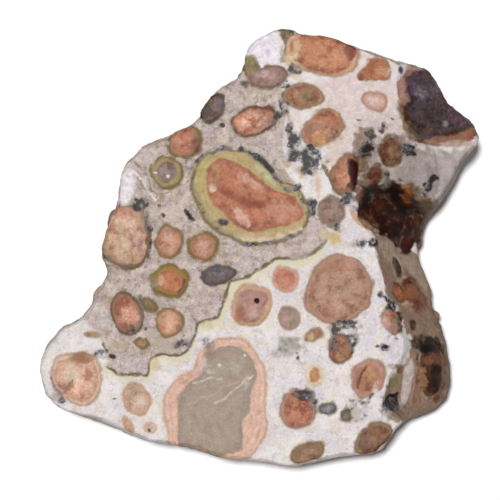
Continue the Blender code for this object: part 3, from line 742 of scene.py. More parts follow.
@dataclass
class OncoidCrowd:
    """All the oncoids of the stone, the ones on show and the ones that its broken sides cut."""

    surface: BVHTree
    hidden_count: int = 190
    hidden_radii: tuple[float, float] = (1.1, 7.0)
    hidden_seed: int = 41
    hidden_tries: int = 6000
    shown_above: float = 14.0
    shown_tilt: float = -0.05
    under_face: float = 0.5
    overlap: float = 0.25
    rim_share: float = 0.35
    uneven: float = 0.04
    placed: list[PlacedOncoid] = field(default_factory=list)

    def height_at(self, x: float, y: float) -> float:
        """The height of the stone's upper surface at a place, in millimetres."""
        hit, _, _, _ = self.surface.ray_cast(Vector((x, y, 100.0)) * MM, Vector((0.0, 0.0, -1.0)))
        return hit.z / MM if hit else FACE_HEIGHT

    def place(self, oncoid: Oncoid, middle: np.ndarray) -> None:
        """Gives an oncoid its place and its shape.

        Args:
            oncoid: The oncoid.
            middle: Its middle in millimetres.
        """
        seed = 100 + len(self.placed)
        if oncoid.name in OUTLINES:
            edge = Reach.from_outline(OUTLINES[oncoid.name], middle[:2])
        else:
            edge = Reach.from_ellipse(oncoid.halves, oncoid.turn, seed, self.uneven)
        if oncoid.name in HEARTS:
            heart = Reach.from_outline(HEARTS[oncoid.name], middle[:2])
        else:
            share = max(0.25, 1.0 - oncoid.rim_mm / float(np.mean(edge.radii)))
            uneven = Reach.from_ellipse((1.0, 1.0), 0.0, seed + 1000, self.uneven)
            heart = Reach(edge.radii[:-1] * np.minimum(uneven.radii[:-1] * share, 0.97))
        self.placed.append(PlacedOncoid(oncoid, middle, edge, heart, seed))

    def place_known(self) -> None:
        """Places the oncoids on show and the ones that stand out of the broken sides."""
        for reading in FACE_ONCOIDS:
            oncoid = reading.in_millimetres()
            x, y = oncoid.middle
            self.place(oncoid, np.array((x, y, self.height_at(x, y))))
        draw = np.random.default_rng(self.hidden_seed)
        for number, (angle, height, radius) in enumerate(SIDE_ONCOIDS):
            outward = Vector((math.cos(math.radians(angle)), math.sin(math.radians(angle)), 0.0))
            start = Vector((*MIDDLE, height)) * MM + outward * 0.2
            hit, _, _, _ = self.surface.ray_cast(start, -outward)
            middle = np.array(hit) / MM - np.array(outward) * radius
            share = SIDE_SHARES[number % len(SIDE_SHARES)]
            heart, rim, rim_mm, kind = HIDDEN_LOOKS[draw.integers(len(HIDDEN_LOOKS))]
            halves = (radius, radius * share)
            oncoid = Oncoid(f"side_{number:02d}", (), halves, angle, heart, rim, rim_mm, kind,
                            depth=radius * (2.0 - share))
            self.place(oncoid, middle)

    def place_hidden(self, points: np.ndarray, normals: np.ndarray) -> None:
        """Fills the rest of the stone with oncoids that only the broken sides cut.

        Args:
            points: Places on the stone's surface in millimetres.
            normals: The surface's outward directions there.
        """
        draw = np.random.default_rng(self.hidden_seed)
        middles = [placed.middle for placed in self.placed]
        radii = [max(placed.edge.radii) for placed in self.placed]
        made, tries = 0, 0
        least, most = self.hidden_radii
        while made < self.hidden_count and tries < self.hidden_tries:
            tries += 1
            start = draw.integers(len(points))
            radius = least + draw.beta(0.9, 2.6) * (most - least)
            middle = points[start] - normals[start] * radius * draw.uniform(0.1, 0.95)
            in_view = points[start][2] > self.shown_above and normals[start][2] > self.shown_tilt
            if middle[2] + radius > FACE_HEIGHT - self.under_face or in_view:
                continue
            gaps = np.linalg.norm(np.array(middles) - middle, axis=1) - np.array(radii) - radius
            if gaps.min() < -self.overlap * radius:
                continue
            heart, rim, rim_mm, kind = HIDDEN_LOOKS[draw.integers(len(HIDDEN_LOOKS))]
            halves = (radius, radius * draw.uniform(0.50, 0.95))
            oncoid = Oncoid(f"hidden_{made:03d}", (), halves, draw.uniform(0, 180), heart, rim,
                            min(rim_mm, radius * self.rim_share), kind, depth=radius * draw.uniform(0.7, 1.0),
                            proud=draw.uniform(-0.7, 0.9))
            self.place(oncoid, middle)
            middles.append(middle)
            radii.append(radius)
            made += 1
        log.info("%d hidden oncoids after %d tries", made, tries)


@dataclass
class StoneFields:
    """What each point of the stone's surface is: its oncoid, its matrix, its spots of colour, painted shade
    and marks.
    """

    points: np.ndarray
    normals: np.ndarray
    broken: np.ndarray
    warp_mm: float = 0.30
    warp_length: float = 5.0
    far: float = 6.0
    upper_height: float = 22.0
    upper_tilt: float = 0.2

    def __post_init__(self) -> None:
        """Bends space a little, so that no edge is a clean curve."""
        bend = np.stack([waves(self.points, self.warp_length, seed) for seed in (1, 2, 3)], 1)
        bend += 0.4 * np.stack([waves(self.points, self.warp_length * 0.35, seed) for seed in (4, 5, 6)], 1)
        self.bent = self.points + bend * self.warp_mm
        self.flat = self.points * (1.0, 1.0, 0.15)
        looks_up = self.normals[:, 2] > self.upper_tilt
        self.upper = np.flatnonzero((self.points[:, 2] > self.upper_height) & looks_up)

    def oncoids(self, crowd: OncoidCrowd) -> dict[str, np.ndarray]:
        """Finds each point's nearest oncoid and reads that oncoid's coats there.

        Args:
            crowd: All the oncoids.

        Returns:
            The fields by name.
        """
        count = len(self.points)
        edge = np.full(count, self.far)
        heart = np.full(count, self.far)
        tints = {name: np.zeros((count, 4)) for name in ("heart_tint", "rim_tint", "line_tint")}
        layout = np.zeros((count, 3))
        proud = np.zeros(count)
        for placed in crowd.placed:
            widest = float(placed.edge.radii.max()) + self.far
            near = np.flatnonzero(np.abs(self.bent - placed.middle).max(1) < widest)
            if not len(near):
                continue
            here_edge, here_heart = placed.cut(self.bent[near])
            closer = here_edge < edge[near]
            chosen = near[closer]
            edge[chosen] = here_edge[closer]
            heart[chosen] = here_heart[closer]
            look = placed.oncoid.kind.value
            tints["heart_tint"][chosen] = (*tone(placed.oncoid.heart), look.mottle)
            tints["rim_tint"][chosen] = (*tone(placed.oncoid.rim), look.rings)
            tints["line_tint"][chosen] = (*tone(look.line), look.line_strength)
            layout[chosen] = (look.line_mm, look.ring_mm, placed.seed * 1.7)
            proud[chosen] = placed.oncoid.proud
        return {"edge_mm": edge, "heart_mm": heart, "layout": layout, "proud": proud, **tints}

    def zones(self) -> dict[str, np.ndarray]:
        """Tells the taupe matrix zone from the white one.

        Returns:
            The signed distance from the taupe zone, and the strength of its contact line.
        """
        curve = closed_curve(on_face(TAUPE_ZONE), 4)
        flat = self.bent[:, :2] + 0.12 * (FACE_HEIGHT - self.points[:, 2:]) * (-0.5, 1.0)
        away, nearest = nearest_on_line(flat, np.vstack([curve, curve[:1]]))
        away[inside(flat, curve)] *= -1.0
        last = CONTACT_POINTS * 4
        strength = np.where(nearest < last, 1.0, 0.0) * smooth_step((last - nearest) / 16.0, 0.0, 1.0)
        return {"matrix_mm": np.clip(away, -self.far, self.far), "contact": strength}

    def spots(self, places: list, uneven: float, size: float = 1.0) -> list[tuple[np.ndarray, tuple]]:
        """How strongly each soft round place covers each point.

        Args:
            places: Rows that start with a middle and half sizes in pixels.
            uneven: How uneven the edges are.
            size: What the half sizes are multiplied by.

        Returns:
            A pair of the cover and the row for each place.
        """
        ragged = waves(self.flat, 3.2, 9) + 0.7 * waves(self.flat, 1.5, 10)
        above = smooth_step(self.points[:, 2], 12.0, 22.0) * smooth_step(self.normals[:, 2], -0.3, 0.1)
        covers = []
        for row in places:
            middle = on_face([row[0]])[0]
            halves = np.array(row[1]) * PIXEL_MM * size
            ratio = np.linalg.norm((self.points[:, :2] - middle) / halves, axis=1) + uneven * ragged
            covers.append((smooth_step(ratio, 1.25, 0.45) * above, row))
        return covers

    def layer(self, patches: list, stains_and_shade: list) -> np.ndarray:
        """Lays patches and then soft spots over each other; some of both are painted shade.

        Args:
            patches: Rows of colour, strength, softness and outline.
            stains_and_shade: Rows of middle, half sizes, colour and strength.

        Returns:
            Colour times cover, and the cover, for each point.
        """
        above = smooth_step(self.points[:, 2], 10.0, 18.0) * smooth_step(self.normals[:, 2], -0.3, 0.1)
        ragged = waves(self.flat, 2.6, 11) + 0.7 * waves(self.flat, 1.3, 12)
        covers = []
        for colour, strength, softness, outline in patches:
            curve = closed_curve(on_face(outline), 3)
            flat = self.bent[:, :2]
            low, high = curve.min(0) - softness, curve.max(0) + softness
            near = np.flatnonzero(((flat > low) & (flat < high)).all(1) & (above > 0.0))
            away, _ = nearest_on_line(flat[near], np.vstack([curve, curve[:1]]))
            away[inside(flat[near], curve)] *= -1.0
            away += 0.35 * softness * ragged[near]
            cover = np.zeros(len(flat))
            cover[near] = smooth_step(away, softness * 0.5, -softness * 0.5) * above[near]
            covers.append((cover, colour, strength))
        for cover, (_, _, colour, strength) in self.spots(stains_and_shade, 0.16):
            covers.append((cover, colour, strength))
        laid = np.zeros((len(self.points), 4))
        for cover, colour, strength in covers:
            weight = (cover * strength)[:, None]
            laid = laid * (1.0 - weight) + weight * np.array((*tone(colour), 1.0))
        return laid

    def stains_and_shade(self) -> dict[str, np.ndarray]:
        """Lays the soft spots of colour, painted shade among them, and the manganese.

        Returns:
            The stains under and over the oncoids, and the manganese.
        """
        manganese = np.zeros(len(self.points))
        for cover, (_, _, strength) in self.spots(MANGANESE_AND_PIT_SHADE, 0.25, 1.3):
            manganese = np.maximum(manganese, cover * strength)
        for half_width, strength, pixels in MANGANESE_LINES:
            away, _ = nearest_on_line(self.bent[self.upper, :2], on_face(pixels))
            line = strength * smooth_step(away / half_width, 2.2, 0.5)
            manganese[self.upper] = np.maximum(manganese[self.upper], line)
        return {
            "ground": self.layer(GROUND_PATCHES, GROUND_STAINS),
            "stain_and_shade": self.layer(COAT_PATCHES, COAT_STAINS_AND_SHADE),
            "manganese": manganese,
        }

    def marks(self) -> dict[str, np.ndarray]:
        """Draws the thin marks.

        Returns:
            The signed distance from the marks and the colour of the nearest one.
        """
        distance = np.full(len(self.points), self.far)
        tint = np.zeros((len(self.points), 4))
        wobble = 0.10 * waves(self.points, 1.8, 21)
        for colour, half_width, pixels in MARKS:
            away, _ = nearest_on_line(self.bent[self.upper, :2], on_face(pixels))
            here = away - half_width + wobble[self.upper]
            closer = here < distance[self.upper]
            chosen = self.upper[closer]
            distance[chosen] = here[closer]
            tint[chosen] = (*tone(colour), 1.0)
        return {"mark_mm": distance, "mark_tint": tint}

    def everything(self, crowd: OncoidCrowd) -> dict[str, np.ndarray]:
        """All the fields by name."""
        return {"broken": self.broken, **self.oncoids(crowd), **self.zones(), **self.stains_and_shade(), **self.marks()}


class Shade:
    """A node's value that Python sums can be written with."""

    def __init__(self, bench: "Bench", socket: bpy.types.NodeSocket) -> None:
        """Keeps the output and the tree it is in."""
        self.bench = bench
        self.socket = socket

    def sum(self, operation: str, *values: "Shade | float") -> "Shade":
        """Adds one Math node to the tree.

        Args:
            operation: The Math node's operation.
            values: Its inputs in order.

        Returns:
            The node's result.
        """
        inputs = dict(enumerate(values))
        return self.bench.node("ShaderNodeMath", {"operation": operation}, inputs)

    def __add__(self, other: "Shade | float") -> "Shade":
        """self + other"""
        return self.sum("ADD", self, other)

    def __radd__(self, other: float) -> "Shade":
        """other + self"""
        return self.sum("ADD", other, self)

    def __sub__(self, other: "Shade | float") -> "Shade":
        """self - other"""
        return self.sum("SUBTRACT", self, other)

    def __rsub__(self, other: float) -> "Shade":
        """other - self"""
        return self.sum("SUBTRACT", other, self)

    def __mul__(self, other: "Shade | float") -> "Shade":
        """self * other"""
        return self.sum("MULTIPLY", self, other)

    def __rmul__(self, other: float) -> "Shade":
        """other * self"""
        return self.sum("MULTIPLY", other, self)

    def __truediv__(self, other: "Shade | float") -> "Shade":
        """self / other"""
        return self.sum("DIVIDE", self, other)

    def __rtruediv__(self, other: float) -> "Shade":
        """other / self"""
        return self.sum("DIVIDE", other, self)

    def __abs__(self) -> "Shade":
        """The value without its sign."""
        return self.sum("ABSOLUTE", self)

    def wave(self) -> "Shade":
        """The sine of the value."""
        return self.sum("SINE", self)

    def rise(self, start: "Shade | float", end: "Shade | float") -> "Shade":
        """A smooth rise, or a fall where end is the smaller.

        Args:
            start: The value at which the result is 0.
            end: The value at which it is 1.

        Returns:
            The result.
        """
        settings = {"interpolation_type": "SMOOTHSTEP"}
        inputs = {"Value": self, "From Min": start, "From Max": end}
        return self.bench.node("ShaderNodeMapRange", settings, inputs)


class Bench:
    """Adds nodes to one material."""

    MIX_RESULT = 2

    def __init__(self, tree: bpy.types.NodeTree) -> None:
        """Keeps the tree and clears it."""
        self.tree = tree
        tree.nodes.clear()

    def node(self, kind: str, settings: dict, inputs: dict, output: int | str = 0) -> Shade:
        """Adds one node.

        Args:
            kind: The node's type.
            settings: Its properties, set first.
            inputs: Values or links of its sockets, by name or number.
            output: Which output is wanted.

        Returns:
            That output.
        """
        made = self.tree.nodes.new(kind)
        for name, value in settings.items():
            setattr(made, name, value)
        for name, value in inputs.items():
            if isinstance(value, Shade):
                self.tree.links.new(value.socket, made.inputs[name])
            else:
                made.inputs[name].default_value = value
        return Shade(self, made.outputs[output])

    def finish(self, surface: Shade) -> None:
        """Adds the material's output, which has no result of its own."""
        out = self.tree.nodes.new("ShaderNodeOutputMaterial")
        self.tree.links.new(surface.socket, out.inputs["Surface"])

    def field(self, name: str, output: str = "Fac") -> Shade:
        """Reads one of the mesh's attributes."""
        return self.node("ShaderNodeAttribute", {"attribute_name": name}, {}, output)

    def parts(self, vector: Shade) -> tuple[Shade, Shade, Shade]:
        """Takes a vector apart.

        Args:
            vector: The vector.

        Returns:
            Its three parts.
        """
        split = self.tree.nodes.new("ShaderNodeSeparateXYZ")
        self.tree.links.new(vector.socket, split.inputs[0])
        return tuple(Shade(self, socket) for socket in split.outputs)

    def noise(self, place: Shade, size: float, detail: float = 3.0, roughness: float = 0.55) -> Shade:
        """A cloudy value from 0 to 1.

        Args:
            place: Where it is read, in millimetres.
            size: The size of its clouds in millimetres.
            detail: How many finer layers it has.
            roughness: How strong these are.

        Returns:
            The value.
        """
        inputs = {"Vector": place, "Scale": 1.0 / size, "Detail": detail, "Roughness": roughness}
        return self.node("ShaderNodeTexNoise", {"noise_dimensions": "3D"}, inputs)

    def scaled(self, vector: Shade, factor: Shade | float) -> Shade:
        """A colour or vector times a number."""
        return self.node("ShaderNodeVectorMath", {"operation": "SCALE"}, {0: vector, "Scale": factor})

    def times(self, vector: Shade, other: Shade | tuple[float, float, float]) -> Shade:
        """A colour times a colour."""
        return self.node("ShaderNodeVectorMath", {"operation": "MULTIPLY"}, {0: vector, 1: other})

    def shifted(self, vector: Shade, other: Shade | tuple[float, float, float]) -> Shade:
        """A vector plus a vector."""
        return self.node("ShaderNodeVectorMath", {"operation": "ADD"}, {0: vector, 1: other})

    def mix(self, under: Shade | str, over: Shade | str, cover: Shade | float) -> Shade:
        """Lays one colour over another.

        Args:
            under: The lower colour.
            over: The upper colour.
            cover: How much of the upper one shows.

        Returns:
            The mixed colour.
        """
        sides = [(*tone(side), 1.0) if isinstance(side, str) else side for side in (under, over)]
        inputs = {0: cover, 6: sides[0], 7: sides[1]}
        return self.node("ShaderNodeMix", {"data_type": "RGBA"}, inputs, self.MIX_RESULT)


@dataclass(frozen=True)
class Speckle:
    """A cloudy layer of colour, which grows as the named noise goes from start to end."""

    noise: str
    start: float
    end: float
    colour: str
    strength: float


@dataclass(frozen=True)
class Tint:
    """A layer that multiplies the colour below, and grows as the named value goes from start to end."""

    guide: str
    start: float
    end: float
    factors: tuple[float, float, float]
    strength: float


@dataclass(frozen=True)
class StoneFinish:
    """The stone's surface: two kinds of matrix, coated oncoids, manganese, spots of colour, painted shade,
    broken sides.
    """

    white_face: tuple[str, str] = ("#e9e0df", "#d6cfd5")
    white_speckles: tuple[Speckle, ...] = (
        Speckle("patch", 0.46, 0.66, "#dccbc3", 0.8),
        Speckle("own_patch", 0.50, 0.66, "#e8dcc6", 0.55),
        Speckle("small", 0.50, 0.70, "#b5a8ac", 0.5),
        Speckle("fine", 0.50, 0.68, "#f6f1f0", 0.5),
        Speckle("grit", 0.60, 0.76, "#85787e", 0.32),
    )
    taupe_face: tuple[str, str] = ("#cdbcb0", "#b09e90")
    taupe_speckles: tuple[Speckle, ...] = (
        Speckle("cloud", 0.45, 0.62, "#c6b4b4", 0.7),
        Speckle("small", 0.52, 0.70, "#86745e", 0.7),
        Speckle("small", 0.46, 0.30, "#dccfc8", 0.7),
        Speckle("own_patch", 0.50, 0.64, "#b7a4ac", 0.5),
        Speckle("fine", 0.56, 0.70, "#e6dcd8", 0.5),
        Speckle("grit", 0.58, 0.74, "#63544a", 0.5),
    )
    thread_colour: str = "#8d7a58"
    contact_colour: str = "#66583a"
    contact_halo: str = "#d9cfa6"
    contact_mm: float = 0.70
    heart_tints: tuple[Tint, ...] = (
        Tint("own", 0.49, 0.65, (0.60, 0.42, 0.34), 0.85),
        Tint("own", 0.48, 0.34, (1.24, 1.38, 1.50), 0.75),
        Tint("red", 0.52, 0.66, (0.98, 0.74, 0.64), 0.5),
        Tint("red", 0.46, 0.36, (1.06, 1.16, 1.02), 0.4),
        Tint("heart_mm", -1.8, 0.0, (0.82, 0.68, 0.58), 0.55),
    )
    stain_and_shade_tints: tuple[Tint, ...] = (
        Tint("own_patch", 0.50, 0.64, (0.42, 0.40, 0.40), 0.8),
        Tint("small", 0.50, 0.38, (2.3, 1.9, 1.6), 0.7),
        Tint("fine", 0.54, 0.74, (2.6, 2.6, 2.6), 0.35),
    )
    ring_depth: float = 0.12
    rim_halo: tuple[str, str] = ("#94845a", "#d8c6a8")
    manganese_colour: str = "#1f1f24"
    manganese_brown: str = "#4b4436"
    manganese_blues: tuple[str, str] = ("#767b90", "#b9bccf")
    halo_colour: str = "#81776f"
    crust_colour: str = "#937b66"
    crust_share: float = 0.78
    face_roughness: float = 0.5
    broken_roughness: float = 0.75
    specular: float = 0.15
    bump_strength: float = 0.25
    bump_mm: float = 0.2
    cavity_shade: float = 0.55
    shoulder_shade: float = 0.20

    def speckled(self, bench: Bench, colour: Shade, speckles: tuple[Speckle, ...],
                 noises: dict[str, Shade]) -> Shade:
        """Lays cloudy layers over a colour.

        Args:
            bench: The material's bench.
            colour: The lower colour.
            speckles: The layers in order.
            noises: The noises by name.

        Returns:
            The mixed colour.
        """
        for speckle in speckles:
            cover = noises[speckle.noise].rise(speckle.start, speckle.end) * speckle.strength
            colour = bench.mix(colour, speckle.colour, cover)
        return colour

    def tinted(self, bench: Bench, colour: Shade, tints: tuple[Tint, ...], values: dict[str, Shade],
               share: Shade) -> Shade:
        """Changes a colour layer by layer.

        Args:
            bench: The material's bench.
            colour: The colour to change.
            tints: The layers in order.
            values: The values that they follow, by name.
            share: How strong all of them are at each place.

        Returns:
            The changed colour.
        """
        for tint in tints:
            cover = values[tint.guide].rise(tint.start, tint.end) * share * tint.strength
            colour = bench.mix(colour, bench.times(colour, tint.factors), cover)
        return colour

    def matrix(self, bench: Bench, noises: dict[str, Shade]) -> Shade:
        """The colour of the rock between the oncoids.

        Args:
            bench: The material's bench.
            noises: The noises by name.

        Returns:
            The colour.
        """
        cloud, patch, small = noises["cloud"], noises["patch"], noises["small"]
        white = bench.mix(*self.white_face, cloud.rise(0.40, 0.62))
        white = self.speckled(bench, white, self.white_speckles, noises)
        taupe = bench.mix(*self.taupe_face, patch.rise(0.38, 0.62))
        taupe = self.speckled(bench, taupe, self.taupe_speckles, noises)
        thread = abs(noises["thread"] - 0.5).rise(0.020, 0.004)
        taupe = bench.mix(taupe, self.thread_colour, thread * patch.rise(0.42, 0.55) * 0.55)
        edge = bench.field("matrix_mm") + (small - 0.5) * 0.9
        whole = bench.mix(taupe, white, edge.rise(-0.4, 0.5))
        contact = bench.field("contact")
        halo = edge.rise(2.8, 0.3) * edge.rise(-0.4, 0.3)
        whole = bench.mix(whole, self.contact_halo, halo * contact * 0.8 * patch.rise(0.25, 0.5))
        line = abs(edge + self.contact_mm * 0.4).rise(self.contact_mm, self.contact_mm * 0.1)
        return bench.mix(whole, self.contact_colour, line * contact * small.rise(0.20, 0.48))

    def coats(self, bench: Bench, place: Shade, noises: dict[str, Shade], edge: Shade) -> Shade:
        """The colour of an oncoid: a mottled heart, a rim, and the fine rings of its coats.

        Args:
            bench: The material's bench.
            place: The place on the stone in millimetres.
            noises: The noises by name.
            edge: The signed distance from the oncoid's edge in millimetres.

        Returns:
            The colour.
        """
        small, fine, grit = noises["small"], noises["fine"], noises["grit"]
        layout = bench.field("layout", "Vector")
        _, ring_mm, _ = bench.parts(layout)
        heart_mm = bench.field("heart_mm") + (small - 0.5) * 1.1
        own = bench.noise(bench.shifted(place, bench.scaled(layout, 3.1)), 2.6, 4.0, 0.6)
        red = bench.noise(bench.shifted(place, bench.scaled(layout, -2.3)), 1.7, 2.0, 0.55)
        mottle = bench.field("heart_tint", "Alpha")
        heart = bench.field("heart_tint", "Color")
        values = {"own": own, "red": red, "heart_mm": heart_mm}
        heart = self.tinted(bench, heart, self.heart_tints, values, mottle)
        heart = bench.scaled(heart, 1.0 + 0.12 * heart_mm.rise(-1.0, -2.6))
        heart = bench.scaled(heart, 1.0 + (fine - 0.5) * 0.75 * mottle)
        rim = bench.scaled(bench.field("rim_tint", "Color"), 1.0 + (small - 0.5) * 0.6)
        rim = bench.mix(rim, bench.times(rim, (0.76, 0.64, 0.52)), own.rise(0.52, 0.68) * 0.6)
        body = bench.mix(heart, rim, heart_mm.rise(-0.5, 0.35))
        body = bench.scaled(body, 1.0 + (grit - 0.5) * 0.5)
        body = bench.scaled(body, 1.0 - 0.22 * edge.rise(-1.0, -0.1) * bench.field("line_tint", "Alpha"))
        rings = bench.field("rim_tint", "Alpha") * heart_mm.rise(-0.8, 0.2)
        wave = ((edge + (own - 0.5) * 1.6) * (6.283 / ring_mm)).wave()
        return bench.scaled(body, 1.0 + wave * rings * self.ring_depth)

    def with_stains_and_shade(self, bench: Bench, colour: Shade, name: str, noises: dict[str, Shade]) -> Shade:
        """Lays one of the two laid fields, spots of colour with painted shade among them, over a colour.

        Args:
            bench: The material's bench.
            colour: The lower colour.
            name: The field's name.
            noises: The noises by name.

        Returns:
            The colour with the field laid over it.
        """
        fine, small, own_patch = noises["fine"], noises["small"], noises["own_patch"]
        cover = bench.field(name, "Alpha")
        stain_and_shade = bench.scaled(bench.field(name, "Color"), 1.0 / (cover + 0.002))
        red, _, _ = bench.parts(stain_and_shade)
        stain_and_shade = self.tinted(bench, stain_and_shade, self.stain_and_shade_tints, noises, red.rise(0.30, 0.04))
        lively = 1.0 + (fine - 0.5) * 0.6 + (small - 0.5) * 0.9
        ragged = (cover + (small + own_patch - 1.0) * 0.7 * cover.rise(0.0, 0.3)).rise(0.08, 0.96)
        return bench.mix(colour, bench.scaled(stain_and_shade, lively), ragged * cover.rise(0.0, 0.35))

    def outlined(self, bench: Bench, colour: Shade, edge: Shade, noises: dict[str, Shade]) -> Shade:
        """Adds the thin, broken line that follows an oncoid's outer edge.

        Args:
            bench: The material's bench.
            colour: The lower colour.
            edge: The signed distance from the oncoid's edge in millimetres.
            noises: The noises by name.

        Returns:
            The colour with the line.
        """
        line_mm, _, _ = bench.parts(bench.field("layout", "Vector"))
        width = line_mm * (0.45 + 1.7 * noises["patch"])
        line = abs(edge).rise(width, width * 0.1)
        white = 1.0 - 0.45 * bench.field("matrix_mm").rise(-0.5, 0.5)
        cover = line * bench.field("line_tint", "Alpha") * noises["own_patch"].rise(0.30, 0.50) * white
        return bench.mix(colour, bench.field("line_tint", "Color"), cover)

    def material(self) -> bpy.types.Material:
        """Builds the stone's material.

        Returns:
            The material.
        """
        made = bpy.data.materials.new("oncolite_stone")
        made.use_nodes = True
        bench = Bench(made.node_tree)
        coordinates = bench.node("ShaderNodeTexCoord", {}, {}, "Object")
        place = bench.scaled(coordinates, 1.0 / MM)
        noises = {
            "cloud": bench.noise(place, 7.0, 3.0, 0.5),
            "patch": bench.noise(place, 3.4, 3.0, 0.55),
            "small": bench.noise(place, 1.5, 3.0, 0.6),
            "fine": bench.noise(place, 0.7, 2.0, 0.6),
            "grit": bench.noise(bench.shifted(place, (37.0, 11.0, 5.0)), 0.38, 1.0, 0.5),
            "thread": bench.noise(place, 5.5, 2.0, 0.5),
            "own_patch": bench.noise(place, 2.2, 2.0, 0.5),
        }
        edge = bench.field("edge_mm") + (noises["small"] - 0.5) * 0.8 + (noises["fine"] - 0.5) * 0.3
        matrix = self.with_stains_and_shade(bench, self.matrix(bench, noises), "ground", noises)
        coats = self.coats(bench, place, noises, edge)
        halo = bench.mix(*self.rim_halo, bench.field("matrix_mm").rise(-0.5, 0.5))
        around = edge.rise(1.3, 0.1) * noises["own_patch"].rise(0.38, 0.6) * bench.field("line_tint", "Alpha")
        matrix = bench.mix(matrix, halo, around * 0.6)
        colour = bench.mix(coats, matrix, edge.rise(-0.38, 0.32))
        colour = self.outlined(bench, colour, edge, noises)
        colour = self.with_stains_and_shade(bench, colour, "stain_and_shade", noises)
        mark = (bench.field("mark_mm") + (noises["fine"] - 0.5) * 0.5).rise(0.20, -0.16)
        colour = bench.mix(colour, bench.field("mark_tint", "Color"), mark * 0.9)
        manganese = bench.field("manganese")
        branches = bench.noise(place, 1.7, 3.0, 0.58)
        start = 0.66 - 0.38 * manganese
        dendrites = branches.rise(start, start + 0.22) * manganese.rise(0.03, 0.3)
        grey_halo = manganese.rise(0.03, 0.6) * noises["own_patch"].rise(0.34, 0.58)
        colour = bench.mix(colour, self.halo_colour, grey_halo * 0.62)
        core = noises["small"].rise(0.54, 0.66)
        brown = noises["own_patch"].rise(0.50, 0.65) * 0.5
        blue = bench.mix(self.manganese_colour, self.manganese_brown, brown)
        blue = bench.mix(blue, self.manganese_blues[0], core * 0.7)
        blue = bench.mix(blue, self.manganese_blues[1], noises["fine"].rise(0.54, 0.68) * core * 0.7)
        colour = bench.mix(colour, blue, dendrites * 0.93)
        broken = bench.field("broken")
        crust = bench.field("crust") * (noises["patch"].rise(0.36, 0.62) * 0.6 + 0.4) * self.crust_share
        colour = bench.mix(colour, self.crust_colour, crust)
        # Painted shade: the colour is darkened where the surface lies in a hollow.
        colour = bench.scaled(colour, 1.0 - self.cavity_shade * bench.field("cavity"))
        # Painted shade: a darker band along the rim where the sawn face turns down into the broken sides.
        shoulder = broken.rise(0.05, 0.5) * broken.rise(0.98, 0.6)
        colour = bench.scaled(colour, 1.0 - self.shoulder_shade * shoulder)
        height = noises["fine"] * 0.5 + noises["small"] * 0.5
        grain = {"Strength": self.bump_strength, "Distance": self.bump_mm * MM, "Height": height}
        bump = bench.node("ShaderNodeBump", {}, grain, "Normal")
        roughness = self.face_roughness + broken * (self.broken_roughness - self.face_roughness)
        surface = bench.node("ShaderNodeBsdfPrincipled", {}, {
            "Base Color": colour, "Roughness": roughness, "Normal": bump,
            "Specular IOR Level": self.specular, "Metallic": 0.0,
        })
        bench.finish(surface)
        return made


